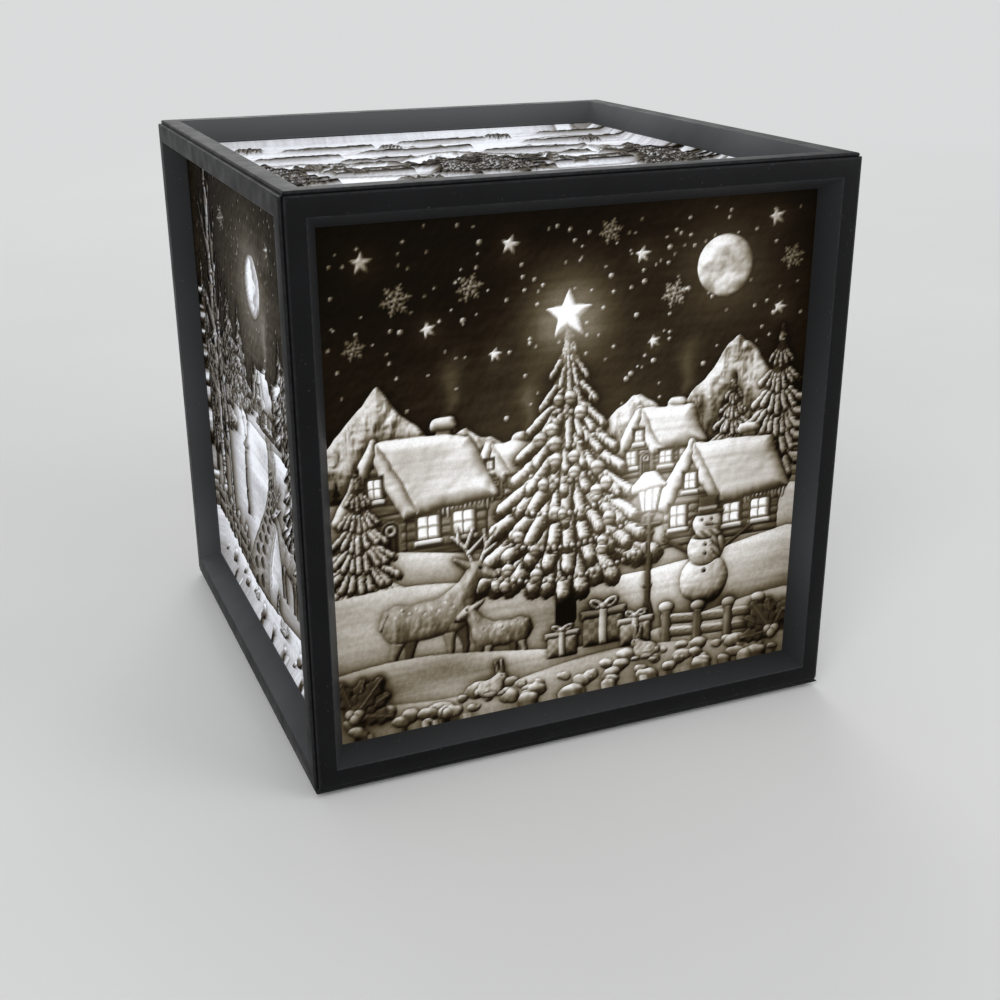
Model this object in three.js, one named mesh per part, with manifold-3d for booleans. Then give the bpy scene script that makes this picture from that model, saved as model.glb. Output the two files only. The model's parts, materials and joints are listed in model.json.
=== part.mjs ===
// A lithophane light cube: five mitred window bezels, each with a relief panel locked behind it, make a
// shell that lifts off a battery-lit base. Millimetres, +Z up, origin on the floor under the cube's centre,
// front face towards -Y.
import * as THREE from "three";
import { mergeVertices } from "three/addons/utils/BufferGeometryUtils.js";
import Module from "manifold-3d";

const wasm = await Module();
wasm.setup();

// Shell: the cube's edge, and the section of a bezel from its outer edge inwards
const SIDE = 126;
const LIP = 5;
const SLOPE_RUN = 3;
const FRAME_DEPTH = 5.5;
const PANEL_THICKNESS = 3;

// Gaps: between mitred or sliding faces, and between flat faces that are stacked
const CLEARANCE = 0.3;
const SEAT_GAP = 0.1;

// Base plate, the plug that centres the shell on it, and its rubber feet
const PLUG_HEIGHT = 5;
const PLUG_WALL = 2;
const FOOT_HEIGHT = 1.5;
const FOOT_RADIUS = 5;
const FOOT_CHAMFER = 0.6;
const FOOT_INSET = 14;

// Three AA cells side by side, in a box that opens through the base plate
const CELL_COUNT = 3;
const CELL_DIAMETER = 14.2;
const CELL_LENGTH = 50.5;
const CELL_NUB_RADIUS = 2.7;
const CELL_NUB_LENGTH = 1;
const CELL_SHOULDER = 0.8;
const HOLDER_WALL = 1.5;
const HOLDER_RIB = 0.8;
const HOLDER_RIB_HEIGHT = 4;
const CONTACT_THICKNESS = 0.5;
const CONTACT_MARGIN = 1.6;
const TAB_WIDTH = 3;
const TAB_RISE = 2.5;

// Battery door, its pegs, the ledge that stops it and the notch that a thumb opens it by
const DOOR_THICKNESS = 3;
const DOOR_LEDGE = 1.5;
const PEG_RADIUS = 0.8;
const PEG_LENGTH = 1.5;
const THUMB_RADIUS = 7;
const THUMB_DEPTH = 1.6;

// Light engine: board on four standoffs, a square array of light chips, and a diffuser dome
const STANDOFF_RADIUS = 3;
const STANDOFF_BORE = 1.7;
const STANDOFF_OFFSET = 1;
const BOARD_GAP = 1.2;
const BOARD_THICKNESS = 1.6;
const BOARD_MARGIN = 4.5;
const CHIP_ROWS = 3;
const CHIP_PITCH = 9;
const CHIP_SIZE = 5;
const CHIP_HEIGHT = 1.2;
const CHIP_LENS_RADIUS = 1.9;
const CHIP_LENS_HEIGHT = 0.3;
const DOME_RADIUS = 20;
const DOME_HEIGHT = 15;
const DOME_WALL = 1.6;

// Screws: one size for the board and for the standoffs
const SCREW_SHANK_RADIUS = 1.4;
const SCREW_HEAD_RADIUS = 2.7;
const SCREW_HEAD_HEIGHT = 1.8;
const SCREW_SOCKET_RADIUS = 1.2;
const SCREW_SOCKET_DEPTH = 1;
const SCREW_GRIP = 6;
const COUNTERBORE_RADIUS = 3.2;
const COUNTERBORE_DEPTH = 2.3;

// Slide switch: a body on the base plate, and a slider that reaches down through a slot
const SWITCH_LENGTH = 16;
const SWITCH_WIDTH = 7;
const SWITCH_HEIGHT = 6.5;
const SWITCH_WALL = 1.2;
const SWITCH_GAP = 8;
const SLIDER_LENGTH = 6;
const SLIDER_FLANGE_HEIGHT = 2.4;
const SLIDER_STEM_LENGTH = 3.4;
const SLIDER_STEM_WIDTH = 3;
const SLIDER_TRAVEL = 3.5;
const SWITCH_RECESS_LENGTH = 15;
const SWITCH_RECESS_WIDTH = 9;
const SWITCH_RECESS_DEPTH = 1.6;

// Hook-up wire inside the base
const LEAD_RADIUS = 0.8;
const LEAD_SIDES = 8;
const LEAD_STEPS = 16;

// How finely round pieces are faceted, and how far a cutter runs past the face that it cuts
const ROUND_SEGMENTS = 32;
const SMALL_SEGMENTS = 20;
const CUT_OVERRUN = 1;

// Sizes that follow from the ones above
const HALF = SIDE / 2;
const MITRE_SETBACK = CLEARANCE / Math.SQRT2;
const PANEL_FRONT = FRAME_DEPTH + CLEARANCE;
const PLUG_INSET = PANEL_FRONT + PANEL_THICKNESS + CLEARANCE;
const CONTACT_GAP = CONTACT_THICKNESS + 2 * CLEARANCE;
const CELL_PITCH = CELL_DIAMETER + HOLDER_RIB + 2 * CLEARANCE;
const BAY_LENGTH = CELL_LENGTH + 2 * CONTACT_GAP;
const BAY_WIDTH = CELL_COUNT * CELL_PITCH - HOLDER_RIB;
const HOLDER_LENGTH = BAY_LENGTH + 2 * HOLDER_WALL;
const HOLDER_WIDTH = BAY_WIDTH + 2 * HOLDER_WALL;
const WELL_LENGTH = BAY_LENGTH + 2 * DOOR_LEDGE;
const WELL_WIDTH = BAY_WIDTH + 2 * DOOR_LEDGE;
const DOOR_LENGTH = WELL_LENGTH - 2 * CLEARANCE;
const DOOR_WIDTH = WELL_WIDTH - 2 * CLEARANCE;
const CONTACT_X = CELL_LENGTH / 2 + CLEARANCE + CONTACT_THICKNESS / 2;
const STANDOFF_X = HOLDER_LENGTH / 2 + STANDOFF_RADIUS + STANDOFF_OFFSET;
const STANDOFF_Y = HOLDER_WIDTH / 2 - STANDOFF_RADIUS;
const BOARD_LENGTH = 2 * (STANDOFF_X + BOARD_MARGIN);
const BOARD_WIDTH = 2 * (STANDOFF_Y + BOARD_MARGIN);
const SWITCH_Y = HOLDER_WIDTH / 2 + SWITCH_GAP + SWITCH_WIDTH / 2;

// Heights above the floor
const CUBE_CENTRE = FOOT_HEIGHT + HALF;
const PLATE_TOP = FOOT_HEIGHT + FRAME_DEPTH;
const DOOR_TOP = FOOT_HEIGHT + DOOR_THICKNESS;
const CELL_AXIS = DOOR_TOP + CLEARANCE + CELL_DIAMETER / 2;
const ROOF_UNDER = CELL_AXIS + CELL_DIAMETER / 2 + CLEARANCE;
const ROOF_TOP = ROOF_UNDER + HOLDER_WALL;
const TAB_TOP = ROOF_TOP + TAB_RISE;
const BOARD_UNDER = TAB_TOP + BOARD_GAP;
const BOARD_TOP = BOARD_UNDER + BOARD_THICKNESS;

// Finishes
const FINISHES = {
  frame: { color: 0x0c0c0d, roughness: 0.55, metalness: 0 },
  lithophane: { color: 0xd9d2c4, roughness: 0.6, metalness: 0 },
  rubber: { color: 0x1a1a1a, roughness: 0.9, metalness: 0 },
  cell: { color: 0x3a3d42, roughness: 0.35, metalness: 0.4 },
  contact: { color: 0xc8c8c4, roughness: 0.3, metalness: 1 },
  brass: { color: 0xb8924a, roughness: 0.35, metalness: 1 },
  steel: { color: 0xb4b6b8, roughness: 0.35, metalness: 1 },
  board: { color: 0xf0efe9, roughness: 0.45, metalness: 0 },
  chip: { color: 0xf2e6a8, roughness: 0.4, metalness: 0 },
  dome: { color: 0xf4f4f0, roughness: 0.5, metalness: 0 },
  switch: { color: 0x17181a, roughness: 0.45, metalness: 0 },
  knob: { color: 0xe4e4e0, roughness: 0.45, metalness: 0 },
  redLead: { color: 0xb3201c, roughness: 0.5, metalness: 0 },
  blackLead: { color: 0x141414, roughness: 0.5, metalness: 0 },
};

const cube = new THREE.Group();

// Adds one named piece to a group.
function addPiece(group, name, geometry, finish) {
  const mesh = new THREE.Mesh(geometry, new THREE.MeshStandardMaterial(FINISHES[finish]));
  mesh.name = name;
  group.add(mesh);
  return mesh;
}

// A closed geometry as a solid that can be joined and cut.
function solid(geometry) {
  const bare = geometry.index ? geometry.toNonIndexed() : geometry.clone();
  bare.deleteAttribute("normal");
  bare.deleteAttribute("uv");
  const merged = mergeVertices(bare, 1e-4);
  const vertProperties = new Float32Array(merged.attributes.position.array);
  const triVerts = new Uint32Array(merged.index.array);
  return new wasm.Manifold(new wasm.Mesh({ numProp: 3, vertProperties, triVerts }));
}

// A solid back as a geometry.
function geometryOf(body) {
  const mesh = body.getMesh();
  const positions = new THREE.BufferAttribute(new Float32Array(mesh.vertProperties), 3);
  const geometry = new THREE.BufferGeometry().setAttribute("position", positions);
  return geometry.setIndex(new THREE.BufferAttribute(new Uint32Array(mesh.triVerts), 1));
}

// A box given by its size, its centre in plan and the height of its underside.
function box(length, width, height, x, y, bottom) {
  return new THREE.BoxGeometry(length, width, height).translate(x, y, bottom + height / 2);
}

// An upright cylinder given by its radius, height, centre in plan and the height of its underside.
function cylinder(radius, height, x, y, bottom, segments = SMALL_SEGMENTS) {
  const geometry = new THREE.CylinderGeometry(radius, radius, height, segments);
  return geometry.rotateX(Math.PI / 2).translate(x, y, bottom + height / 2);
}

// A section of [distance from the axis, height] points turned round the Z axis.
function turned(section, segments) {
  const points = section.map(([radius, height]) => new THREE.Vector2(radius, height));
  return new THREE.LatheGeometry(points, segments).rotateX(Math.PI / 2);
}

// The same with four flat sides: each distance is then half the width of a square.
function squareTurned(section) {
  const corners = section.map(([half, height]) => [half * Math.SQRT2, height]);
  return turned(corners, 4).rotateZ(Math.PI / 4);
}

// A square window moulding: flat lip, slope down to the picture, flat back and 45 degree mitres.
function bezelGeometry() {
  const section = [
    [HALF - LIP - SLOPE_RUN, -FRAME_DEPTH],
    [HALF - FRAME_DEPTH - MITRE_SETBACK, -FRAME_DEPTH],
    [HALF - MITRE_SETBACK, 0],
    [HALF - LIP, 0],
    [HALF - LIP - SLOPE_RUN, -FRAME_DEPTH],
  ];
  return squareTurned(section);
}

// A relief panel's envelope, with mitred edges that lock against the neighbouring panels.
function panelGeometry() {
  const front = HALF - PANEL_FRONT - MITRE_SETBACK;
  const section = [
    [0, -PANEL_FRONT - PANEL_THICKNESS],
    [front - PANEL_THICKNESS, -PANEL_FRONT - PANEL_THICKNESS],
    [front, -PANEL_FRONT],
    [0, -PANEL_FRONT],
  ];
  return squareTurned(section);
}

// One face of the shell: a group whose local +Z points out of that face, with the bezel and its panel.
function addFace(name, turn, tilt) {
  const heading = new THREE.Group();
  heading.position.z = CUBE_CENTRE;
  heading.rotation.z = turn;
  const face = new THREE.Group();
  face.rotation.x = tilt;
  heading.add(face);
  addPiece(face, `${name}_bezel`, bezelGeometry().translate(0, 0, HALF), "frame");
  addPiece(face, `${name}_lithophane`, panelGeometry().translate(0, 0, HALF), "lithophane");
  cube.add(heading);
}

// The base plate: mitred like the bezels, with a square plug, cut for the door, the switch and the screws.
function basePlateGeometry() {
  const plug = HALF - PLUG_INSET;
  const section = [
    [0, FOOT_HEIGHT],
    [HALF - MITRE_SETBACK, FOOT_HEIGHT],
    [HALF - FRAME_DEPTH - MITRE_SETBACK, PLATE_TOP],
    [plug, PLATE_TOP],
    [plug, PLATE_TOP + PLUG_HEIGHT],
    [plug - PLUG_WALL, PLATE_TOP + PLUG_HEIGHT],
    [plug - PLUG_WALL, PLATE_TOP],
    [0, PLATE_TOP],
  ];
  const below = FOOT_HEIGHT - CUT_OVERRUN;
  const through = FRAME_DEPTH + 2 * CUT_OVERRUN;
  const wellDepth = DOOR_THICKNESS + CLEARANCE;
  const slotLength = SLIDER_STEM_LENGTH + SLIDER_TRAVEL + 2 * CLEARANCE;
  const slotWidth = SLIDER_STEM_WIDTH + 2 * CLEARANCE;
  const recessDepth = SWITCH_RECESS_DEPTH + CUT_OVERRUN;
  const slotMiddle = -SLIDER_TRAVEL / 2;
  const cuts = [
    box(BAY_LENGTH, BAY_WIDTH, through, 0, 0, below),
    box(WELL_LENGTH, WELL_WIDTH, wellDepth + CUT_OVERRUN, 0, 0, below),
    pegPocketGeometry(),
    cylinder(THUMB_RADIUS, THUMB_DEPTH + CUT_OVERRUN, WELL_LENGTH / 2, 0, below),
    box(slotLength, slotWidth, through, slotMiddle, SWITCH_Y, below),
    box(SWITCH_RECESS_LENGTH, SWITCH_RECESS_WIDTH, recessDepth, slotMiddle, SWITCH_Y, below),
  ];
  for (const [x, y] of standoffPlaces()) {
    cuts.push(cylinder(STANDOFF_BORE, through, x, y, below));
    cuts.push(cylinder(COUNTERBORE_RADIUS, COUNTERBORE_DEPTH + CUT_OVERRUN, x, y, below));
  }
  const plate = cuts.reduce((body, cut) => body.subtract(solid(cut)), solid(squareTurned(section)));
  return geometryOf(plate);
}

// The door's pegs turn on this axis, parallel to Y, at the middle of its rounded edge.
function doorAxis() {
  return { x: -DOOR_LENGTH / 2 + DOOR_THICKNESS / 2, z: FOOT_HEIGHT + DOOR_THICKNESS / 2 };
}

// A cylinder along Y on the door's axis.
function alongDoorAxis(radius, length) {
  const { x, z } = doorAxis();
  return new THREE.CylinderGeometry(radius, radius, length, SMALL_SEGMENTS).translate(x, 0, z);
}

// The room that both pegs turn in.
function pegPocketGeometry() {
  return alongDoorAxis(PEG_RADIUS + CLEARANCE, DOOR_WIDTH + 2 * (PEG_LENGTH + CLEARANCE));
}

// The battery door: a flat plate with one rounded edge and a peg at each end of it.
function batteryDoorGeometry() {
  const { x } = doorAxis();
  const freeEdge = DOOR_LENGTH / 2;
  const leaf = box(freeEdge - x, DOOR_WIDTH, DOOR_THICKNESS, (freeEdge + x) / 2, 0, FOOT_HEIGHT);
  const edge = alongDoorAxis(DOOR_THICKNESS / 2, DOOR_WIDTH);
  const pegs = alongDoorAxis(PEG_RADIUS, DOOR_WIDTH + 2 * PEG_LENGTH);
  return geometryOf(solid(leaf).add(solid(edge)).add(solid(pegs)));
}

// A rubber foot stuck under the base plate.
function footGeometry() {
  const section = [
    [0, 0],
    [FOOT_RADIUS - FOOT_CHAMFER, 0],
    [FOOT_RADIUS, FOOT_CHAMFER],
    [FOOT_RADIUS, FOOT_HEIGHT - SEAT_GAP],
    [0, FOOT_HEIGHT - SEAT_GAP],
  ];
  return turned(section, ROUND_SEGMENTS);
}

// How far each row of cells lies from the middle.
function cellPlaces() {
  return Array.from({ length: CELL_COUNT }, (_, i) => (i - (CELL_COUNT - 1) / 2) * CELL_PITCH);
}

// The four corners that the standoffs and their screws stand on.
function standoffPlaces() {
  const signs = [-1, 1];
  return signs.flatMap((sx) => signs.map((sy) => [sx * STANDOFF_X, sy * STANDOFF_Y]));
}

// The battery box: walls and a roof over the bay, ribs between the cells, and a slot for each contact tab.
function batteryHolderGeometry() {
  const bottom = PLATE_TOP + SEAT_GAP;
  const outer = solid(box(HOLDER_LENGTH, HOLDER_WIDTH, ROOF_TOP - bottom, 0, 0, bottom));
  const bay = box(BAY_LENGTH, BAY_WIDTH, ROOF_UNDER - bottom + CUT_OVERRUN, 0, 0, bottom - CUT_OVERRUN);
  let holder = outer.subtract(solid(bay));
  const rows = cellPlaces();
  for (const row of rows.slice(1)) {
    const middle = row - CELL_PITCH / 2;
    const ribBottom = ROOF_UNDER - HOLDER_RIB_HEIGHT;
    const ribHeight = HOLDER_RIB_HEIGHT + HOLDER_WALL / 2;
    const ribLength = CELL_LENGTH - 2 * CLEARANCE;
    holder = holder.add(solid(box(ribLength, HOLDER_RIB, ribHeight, 0, middle, ribBottom)));
  }
  const slotLength = CONTACT_THICKNESS + 2 * CLEARANCE;
  const slotWidth = TAB_WIDTH + 2 * CLEARANCE;
  const slotHeight = HOLDER_WALL + 2 * CUT_OVERRUN;
  for (const [x, y] of tabPlaces()) {
    holder = holder.subtract(solid(box(slotLength, slotWidth, slotHeight, x, y, ROOF_UNDER - CUT_OVERRUN)));
  }
  return geometryOf(holder);
}

// An AA cell lying along X: can, shoulder and positive nub.
function cellGeometry() {
  const radius = CELL_DIAMETER / 2;
  const can = CELL_LENGTH - CELL_NUB_LENGTH;
  const section = [
    [0, 0],
    [radius - CELL_SHOULDER, 0],
    [radius, CELL_SHOULDER],
    [radius, can - CELL_SHOULDER],
    [radius - CELL_SHOULDER, can],
    [CELL_NUB_RADIUS, can],
    [CELL_NUB_RADIUS, CELL_LENGTH],
    [0, CELL_LENGTH],
  ];
  return turned(section, SMALL_SEGMENTS).translate(0, 0, -CELL_LENGTH / 2).rotateY(Math.PI / 2);
}

// Where the two contacts with solder tabs stand: positive at +X on the last row, negative at -X on the
// first.
function tabPlaces() {
  const rows = cellPlaces();
  return [
    [CONTACT_X, rows[rows.length - 1]],
    [-CONTACT_X, rows[0]],
  ];
}

// A contact strip at one end of the bay, from one row to another, with a solder tab where a lead joins it.
function contactGeometry(x, firstRow, lastRow, hasTab) {
  const width = lastRow - firstRow + CELL_DIAMETER - 2 * CONTACT_MARGIN;
  const bottom = CELL_AXIS - CELL_DIAMETER / 2 + CONTACT_MARGIN;
  const height = ROOF_UNDER - CLEARANCE - bottom;
  const middle = (firstRow + lastRow) / 2;
  const strip = solid(box(CONTACT_THICKNESS, width, height, x, middle, bottom));
  if (!hasTab) {
    return geometryOf(strip);
  }
  const tab = box(CONTACT_THICKNESS, TAB_WIDTH, TAB_TOP - bottom, x, middle, bottom);
  return geometryOf(strip.add(solid(tab)));
}

// A threaded standoff between the base plate and the board.
function standoffGeometry() {
  const bottom = PLATE_TOP + SEAT_GAP;
  const top = BOARD_UNDER - SEAT_GAP;
  const section = [
    [STANDOFF_BORE, bottom],
    [STANDOFF_RADIUS, bottom],
    [STANDOFF_RADIUS, top],
    [STANDOFF_BORE, top],
    [STANDOFF_BORE, bottom],
  ];
  return turned(section, SMALL_SEGMENTS);
}

// A pan-head screw with a hexagon socket, its head's underside at the origin and its shank towards -Z.
function screwGeometry(shankLength) {
  const section = [
    [0, -shankLength],
    [SCREW_SHANK_RADIUS, -shankLength],
    [SCREW_SHANK_RADIUS, 0],
    [SCREW_HEAD_RADIUS, 0],
    [SCREW_HEAD_RADIUS, SCREW_HEAD_HEIGHT],
    [0, SCREW_HEAD_HEIGHT],
  ];
  const socketBottom = SCREW_HEAD_HEIGHT - SCREW_SOCKET_DEPTH;
  const socket = cylinder(SCREW_SOCKET_RADIUS, SCREW_SOCKET_DEPTH + CUT_OVERRUN, 0, 0, socketBottom, 6);
  return geometryOf(solid(turned(section, SMALL_SEGMENTS)).subtract(solid(socket)));
}

// The light board, drilled for its four screws.
function lightBoardGeometry() {
  let board = solid(box(BOARD_LENGTH, BOARD_WIDTH, BOARD_THICKNESS, 0, 0, BOARD_UNDER));
  const depth = BOARD_THICKNESS + 2 * CUT_OVERRUN;
  for (const [x, y] of standoffPlaces()) {
    board = board.subtract(solid(cylinder(STANDOFF_BORE, depth, x, y, BOARD_UNDER - CUT_OVERRUN)));
  }
  return geometryOf(board);
}

// One light chip: a square package with a round phosphor window.
function chipGeometry() {
  const bottom = BOARD_TOP + SEAT_GAP;
  const lensBottom = bottom + CHIP_HEIGHT / 2;
  const lensHeight = CHIP_HEIGHT / 2 + CHIP_LENS_HEIGHT;
  const body = solid(box(CHIP_SIZE, CHIP_SIZE, CHIP_HEIGHT, 0, 0, bottom));
  return geometryOf(body.add(solid(cylinder(CHIP_LENS_RADIUS, lensHeight, 0, 0, lensBottom))));
}

// The points of a quarter ellipse from the rim up to the axis.
function domeArc(radius, height, bottom) {
  const steps = ROUND_SEGMENTS / 4;
  return Array.from({ length: steps + 1 }, (_, i) => {
    const angle = (i / steps) * (Math.PI / 2);
    const distance = i === steps ? 0 : radius * Math.cos(angle);
    return [distance, bottom + height * Math.sin(angle)];
  });
}

// The diffuser: a hollow dome standing on the board over the chips.
function diffuserGeometry() {
  const bottom = BOARD_TOP + SEAT_GAP;
  const outer = domeArc(DOME_RADIUS, DOME_HEIGHT, bottom);
  const inner = domeArc(DOME_RADIUS - DOME_WALL, DOME_HEIGHT - DOME_WALL, bottom);
  return turned([...inner.reverse(), ...outer], ROUND_SEGMENTS);
}

// The switch body: a box over the slot, hollow from below so that the slider runs inside it.
function switchBodyGeometry() {
  const bottom = PLATE_TOP + SEAT_GAP;
  const length = SLIDER_LENGTH + SLIDER_TRAVEL + 2 * CLEARANCE;
  const width = SWITCH_WIDTH - 2 * SWITCH_WALL;
  const height = SLIDER_FLANGE_HEIGHT + 2 * CLEARANCE;
  const x = -SLIDER_TRAVEL / 2;
  const shell = solid(box(SWITCH_LENGTH, SWITCH_WIDTH, SWITCH_HEIGHT, x, SWITCH_Y, bottom));
  const run = box(length, width, height + CUT_OVERRUN, x, SWITCH_Y, bottom - CUT_OVERRUN);
  return geometryOf(shell.subtract(solid(run)));
}

// The slider: a flange inside the switch body and a stem down to the underside of the base plate.
function switchSliderGeometry() {
  const width = SWITCH_WIDTH - 2 * SWITCH_WALL - 2 * CLEARANCE;
  const flangeBottom = PLATE_TOP + SEAT_GAP + CLEARANCE;
  const stemHeight = flangeBottom - FOOT_HEIGHT + SLIDER_FLANGE_HEIGHT / 2;
  const flange = solid(box(SLIDER_LENGTH, width, SLIDER_FLANGE_HEIGHT, 0, SWITCH_Y, flangeBottom));
  const stem = solid(box(SLIDER_STEM_LENGTH, SLIDER_STEM_WIDTH, stemHeight, 0, SWITCH_Y, FOOT_HEIGHT));
  return geometryOf(flange.add(stem));
}

// A length of hook-up wire along a route of points.
function leadGeometry(route) {
  const path = new THREE.CatmullRomCurve3(route.map((point) => new THREE.Vector3(...point)));
  const section = new THREE.Shape();
  section.absarc(0, 0, LEAD_RADIUS, 0, 2 * Math.PI);
  const options = { steps: LEAD_STEPS, curveSegments: LEAD_SIDES, bevelEnabled: false, extrudePath: path };
  return new THREE.ExtrudeGeometry(section, options);
}

// The three leads: positive tab to switch, switch to board, and negative tab to board.
function addLeads() {
  const [[plusX, plusY], [minusX, minusY]] = tabPlaces();
  const beside = TAB_WIDTH / 2 + CLEARANCE;
  const tabHeight = ROOF_TOP + TAB_RISE / 2;
  const switchHeight = PLATE_TOP + SWITCH_HEIGHT / 2;
  const switchEnd = SWITCH_LENGTH / 2 + CLEARANCE;
  const switchX = -SLIDER_TRAVEL / 2;
  const boardEdge = BOARD_WIDTH / 2 + CLEARANCE;
  const boardHeight = BOARD_UNDER + BOARD_THICKNESS / 2;
  const positive = [
    [plusX, plusY + beside, tabHeight],
    [plusX, 21.5, tabHeight],
    [25.5, 27, 21.2],
    [24, 30.5, 15.5],
    [20, 34.5, 11],
    [14, 36, 10.3],
    [switchX + switchEnd, SWITCH_Y, switchHeight],
  ];
  const switched = [
    [switchX - switchEnd, SWITCH_Y, switchHeight],
    [-13.5, 36, 10.4],
    [-19, 35.6, 12],
    [-22, 34.3, 17],
    [-22, 32.5, 22.3],
    [-21, 29.5, 25],
    [-20.5, boardEdge, boardHeight],
  ];
  const negative = [
    [minusX, minusY - beside, tabHeight],
    [minusX, -21.5, tabHeight],
    [-25.2, -28, 22.3],
    [-23.5, -31.5, 23.2],
    [-21.5, -31.6, 24.8],
    [-20.6, -29.5, 25.2],
    [-20.5, -boardEdge, boardHeight],
  ];
  addPiece(cube, "lead_battery_to_switch", leadGeometry(positive), "redLead");
  addPiece(cube, "lead_switch_to_board", leadGeometry(switched), "redLead");
  addPiece(cube, "lead_battery_to_board", leadGeometry(negative), "blackLead");
}

// Shell
addFace("front", 0, Math.PI / 2);
addFace("right", Math.PI / 2, Math.PI / 2);
addFace("back", Math.PI, Math.PI / 2);
addFace("left", -Math.PI / 2, Math.PI / 2);
addFace("top", 0, 0);

// Base and its feet
addPiece(cube, "base_plate", basePlateGeometry(), "frame");
addPiece(cube, "battery_door", batteryDoorGeometry(), "frame");
const footPlace = HALF - FOOT_INSET;
for (const [side, sx] of [["left", -1], ["right", 1]]) {
  for (const [end, sy] of [["front", -1], ["back", 1]]) {
    const foot = addPiece(cube, `foot_${end}_${side}`, footGeometry(), "rubber");
    foot.position.set(sx * footPlace, sy * footPlace, 0);
  }
}

// Batteries and contacts
const rows = cellPlaces();
addPiece(cube, "battery_holder", batteryHolderGeometry(), "switch");
rows.forEach((row, i) => {
  const cell = addPiece(cube, `battery_cell_${i + 1}`, cellGeometry(), "cell");
  cell.position.set(0, row, CELL_AXIS);
  // Neighbouring cells point opposite ways, so that the links at each end join them in series.
  cell.rotation.z = (CELL_COUNT - 1 - i) % 2 === 0 ? 0 : Math.PI;
});
const [first, middle, last] = rows;
addPiece(cube, "contact_positive", contactGeometry(CONTACT_X, last, last, true), "contact");
addPiece(cube, "contact_negative", contactGeometry(-CONTACT_X, first, first, true), "contact");
addPiece(cube, "contact_link_left", contactGeometry(-CONTACT_X, middle, last, false), "contact");
addPiece(cube, "contact_link_right", contactGeometry(CONTACT_X, first, middle, false), "contact");

// Light engine
const boardGrip = BOARD_THICKNESS + SCREW_GRIP;
const plateGrip = FRAME_DEPTH - COUNTERBORE_DEPTH + SCREW_GRIP;
standoffPlaces().forEach(([x, y], i) => {
  const standoff = addPiece(cube, `standoff_${i + 1}`, standoffGeometry(), "brass");
  standoff.position.set(x, y, 0);
  const boardScrew = addPiece(cube, `board_screw_${i + 1}`, screwGeometry(boardGrip), "steel");
  boardScrew.position.set(x, y, BOARD_TOP + SEAT_GAP);
  const baseScrew = addPiece(cube, `base_screw_${i + 1}`, screwGeometry(plateGrip), "steel");
  baseScrew.position.set(x, y, FOOT_HEIGHT + COUNTERBORE_DEPTH - SEAT_GAP);
  baseScrew.rotation.x = Math.PI;
});
addPiece(cube, "light_board", lightBoardGeometry(), "board");
for (let i = 0; i < CHIP_ROWS * CHIP_ROWS; i++) {
  const chip = addPiece(cube, `light_chip_${i + 1}`, chipGeometry(), "chip");
  const column = (i % CHIP_ROWS) - (CHIP_ROWS - 1) / 2;
  const row = Math.floor(i / CHIP_ROWS) - (CHIP_ROWS - 1) / 2;
  chip.position.set(column * CHIP_PITCH, row * CHIP_PITCH, 0);
}
addPiece(cube, "diffuser_dome", diffuserGeometry(), "dome");

// Switch and wiring
addPiece(cube, "switch_body", switchBodyGeometry(), "switch");
addPiece(cube, "switch_slider", switchSliderGeometry(), "knob");
addLeads();

export default cube;
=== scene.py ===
import json
import math

import bmesh
import bpy
import numpy as np
from mathutils import Matrix, Vector


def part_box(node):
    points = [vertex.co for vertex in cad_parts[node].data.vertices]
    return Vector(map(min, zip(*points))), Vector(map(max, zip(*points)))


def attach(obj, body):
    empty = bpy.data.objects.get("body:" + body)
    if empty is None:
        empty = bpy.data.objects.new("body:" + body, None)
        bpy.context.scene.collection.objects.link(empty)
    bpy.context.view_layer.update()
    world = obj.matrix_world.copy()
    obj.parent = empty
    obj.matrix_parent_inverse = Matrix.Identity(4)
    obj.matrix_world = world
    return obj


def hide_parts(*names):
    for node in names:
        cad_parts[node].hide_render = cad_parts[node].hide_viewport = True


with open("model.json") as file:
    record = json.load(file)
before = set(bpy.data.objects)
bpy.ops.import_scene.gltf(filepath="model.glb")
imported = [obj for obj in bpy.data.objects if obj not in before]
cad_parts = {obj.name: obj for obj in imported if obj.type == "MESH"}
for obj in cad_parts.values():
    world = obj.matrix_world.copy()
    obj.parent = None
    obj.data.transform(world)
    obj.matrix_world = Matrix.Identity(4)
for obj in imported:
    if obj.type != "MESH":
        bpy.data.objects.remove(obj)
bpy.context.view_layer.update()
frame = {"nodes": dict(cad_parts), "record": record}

# Sizes in metres that the frame does not give
MM = 0.001
LIP = 5 * MM
SLOPE_RUN = 3 * MM
EDGE_ROUND = 0.45 * MM
PICTURE_MARGIN = 1.9 * MM
RELIEF = 1.7 * MM
LAYER = 0.2 * MM
RUN_WIDTH = 0.65 * MM
CHIP_PITCH = 9 * MM

SCENE = bpy.context.scene
SCENE.view_settings.view_transform = "Standard"


def shown(name, data):
    made = bpy.data.objects.new(name, data)
    SCENE.collection.objects.link(made)
    return made


# Camera at the photograph's viewing angle
CAMERA_PLACE = Vector((-0.122017, -0.308405, 0.167171))
CAMERA_TARGET = Vector((0.005433, 0.0, 0.035066))
CAMERA_ROLL = math.radians(-0.292)
CAMERA_LENS = 49.891


def add_camera():
    data = bpy.data.cameras.new("camera")
    data.lens = CAMERA_LENS
    data.clip_start = 0.01
    ahead = (CAMERA_TARGET - CAMERA_PLACE).normalized()
    level = ahead.cross(Vector((0, 0, 1))).normalized()
    upright = level.cross(ahead)
    c, s = math.cos(CAMERA_ROLL), math.sin(CAMERA_ROLL)
    axes = Matrix((c * level + s * upright, c * upright - s * level, -ahead)).transposed().to_4x4()
    SCENE.camera = shown("camera", data)
    SCENE.camera.matrix_world = Matrix.Translation(CAMERA_PLACE) @ axes


add_camera()


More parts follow.
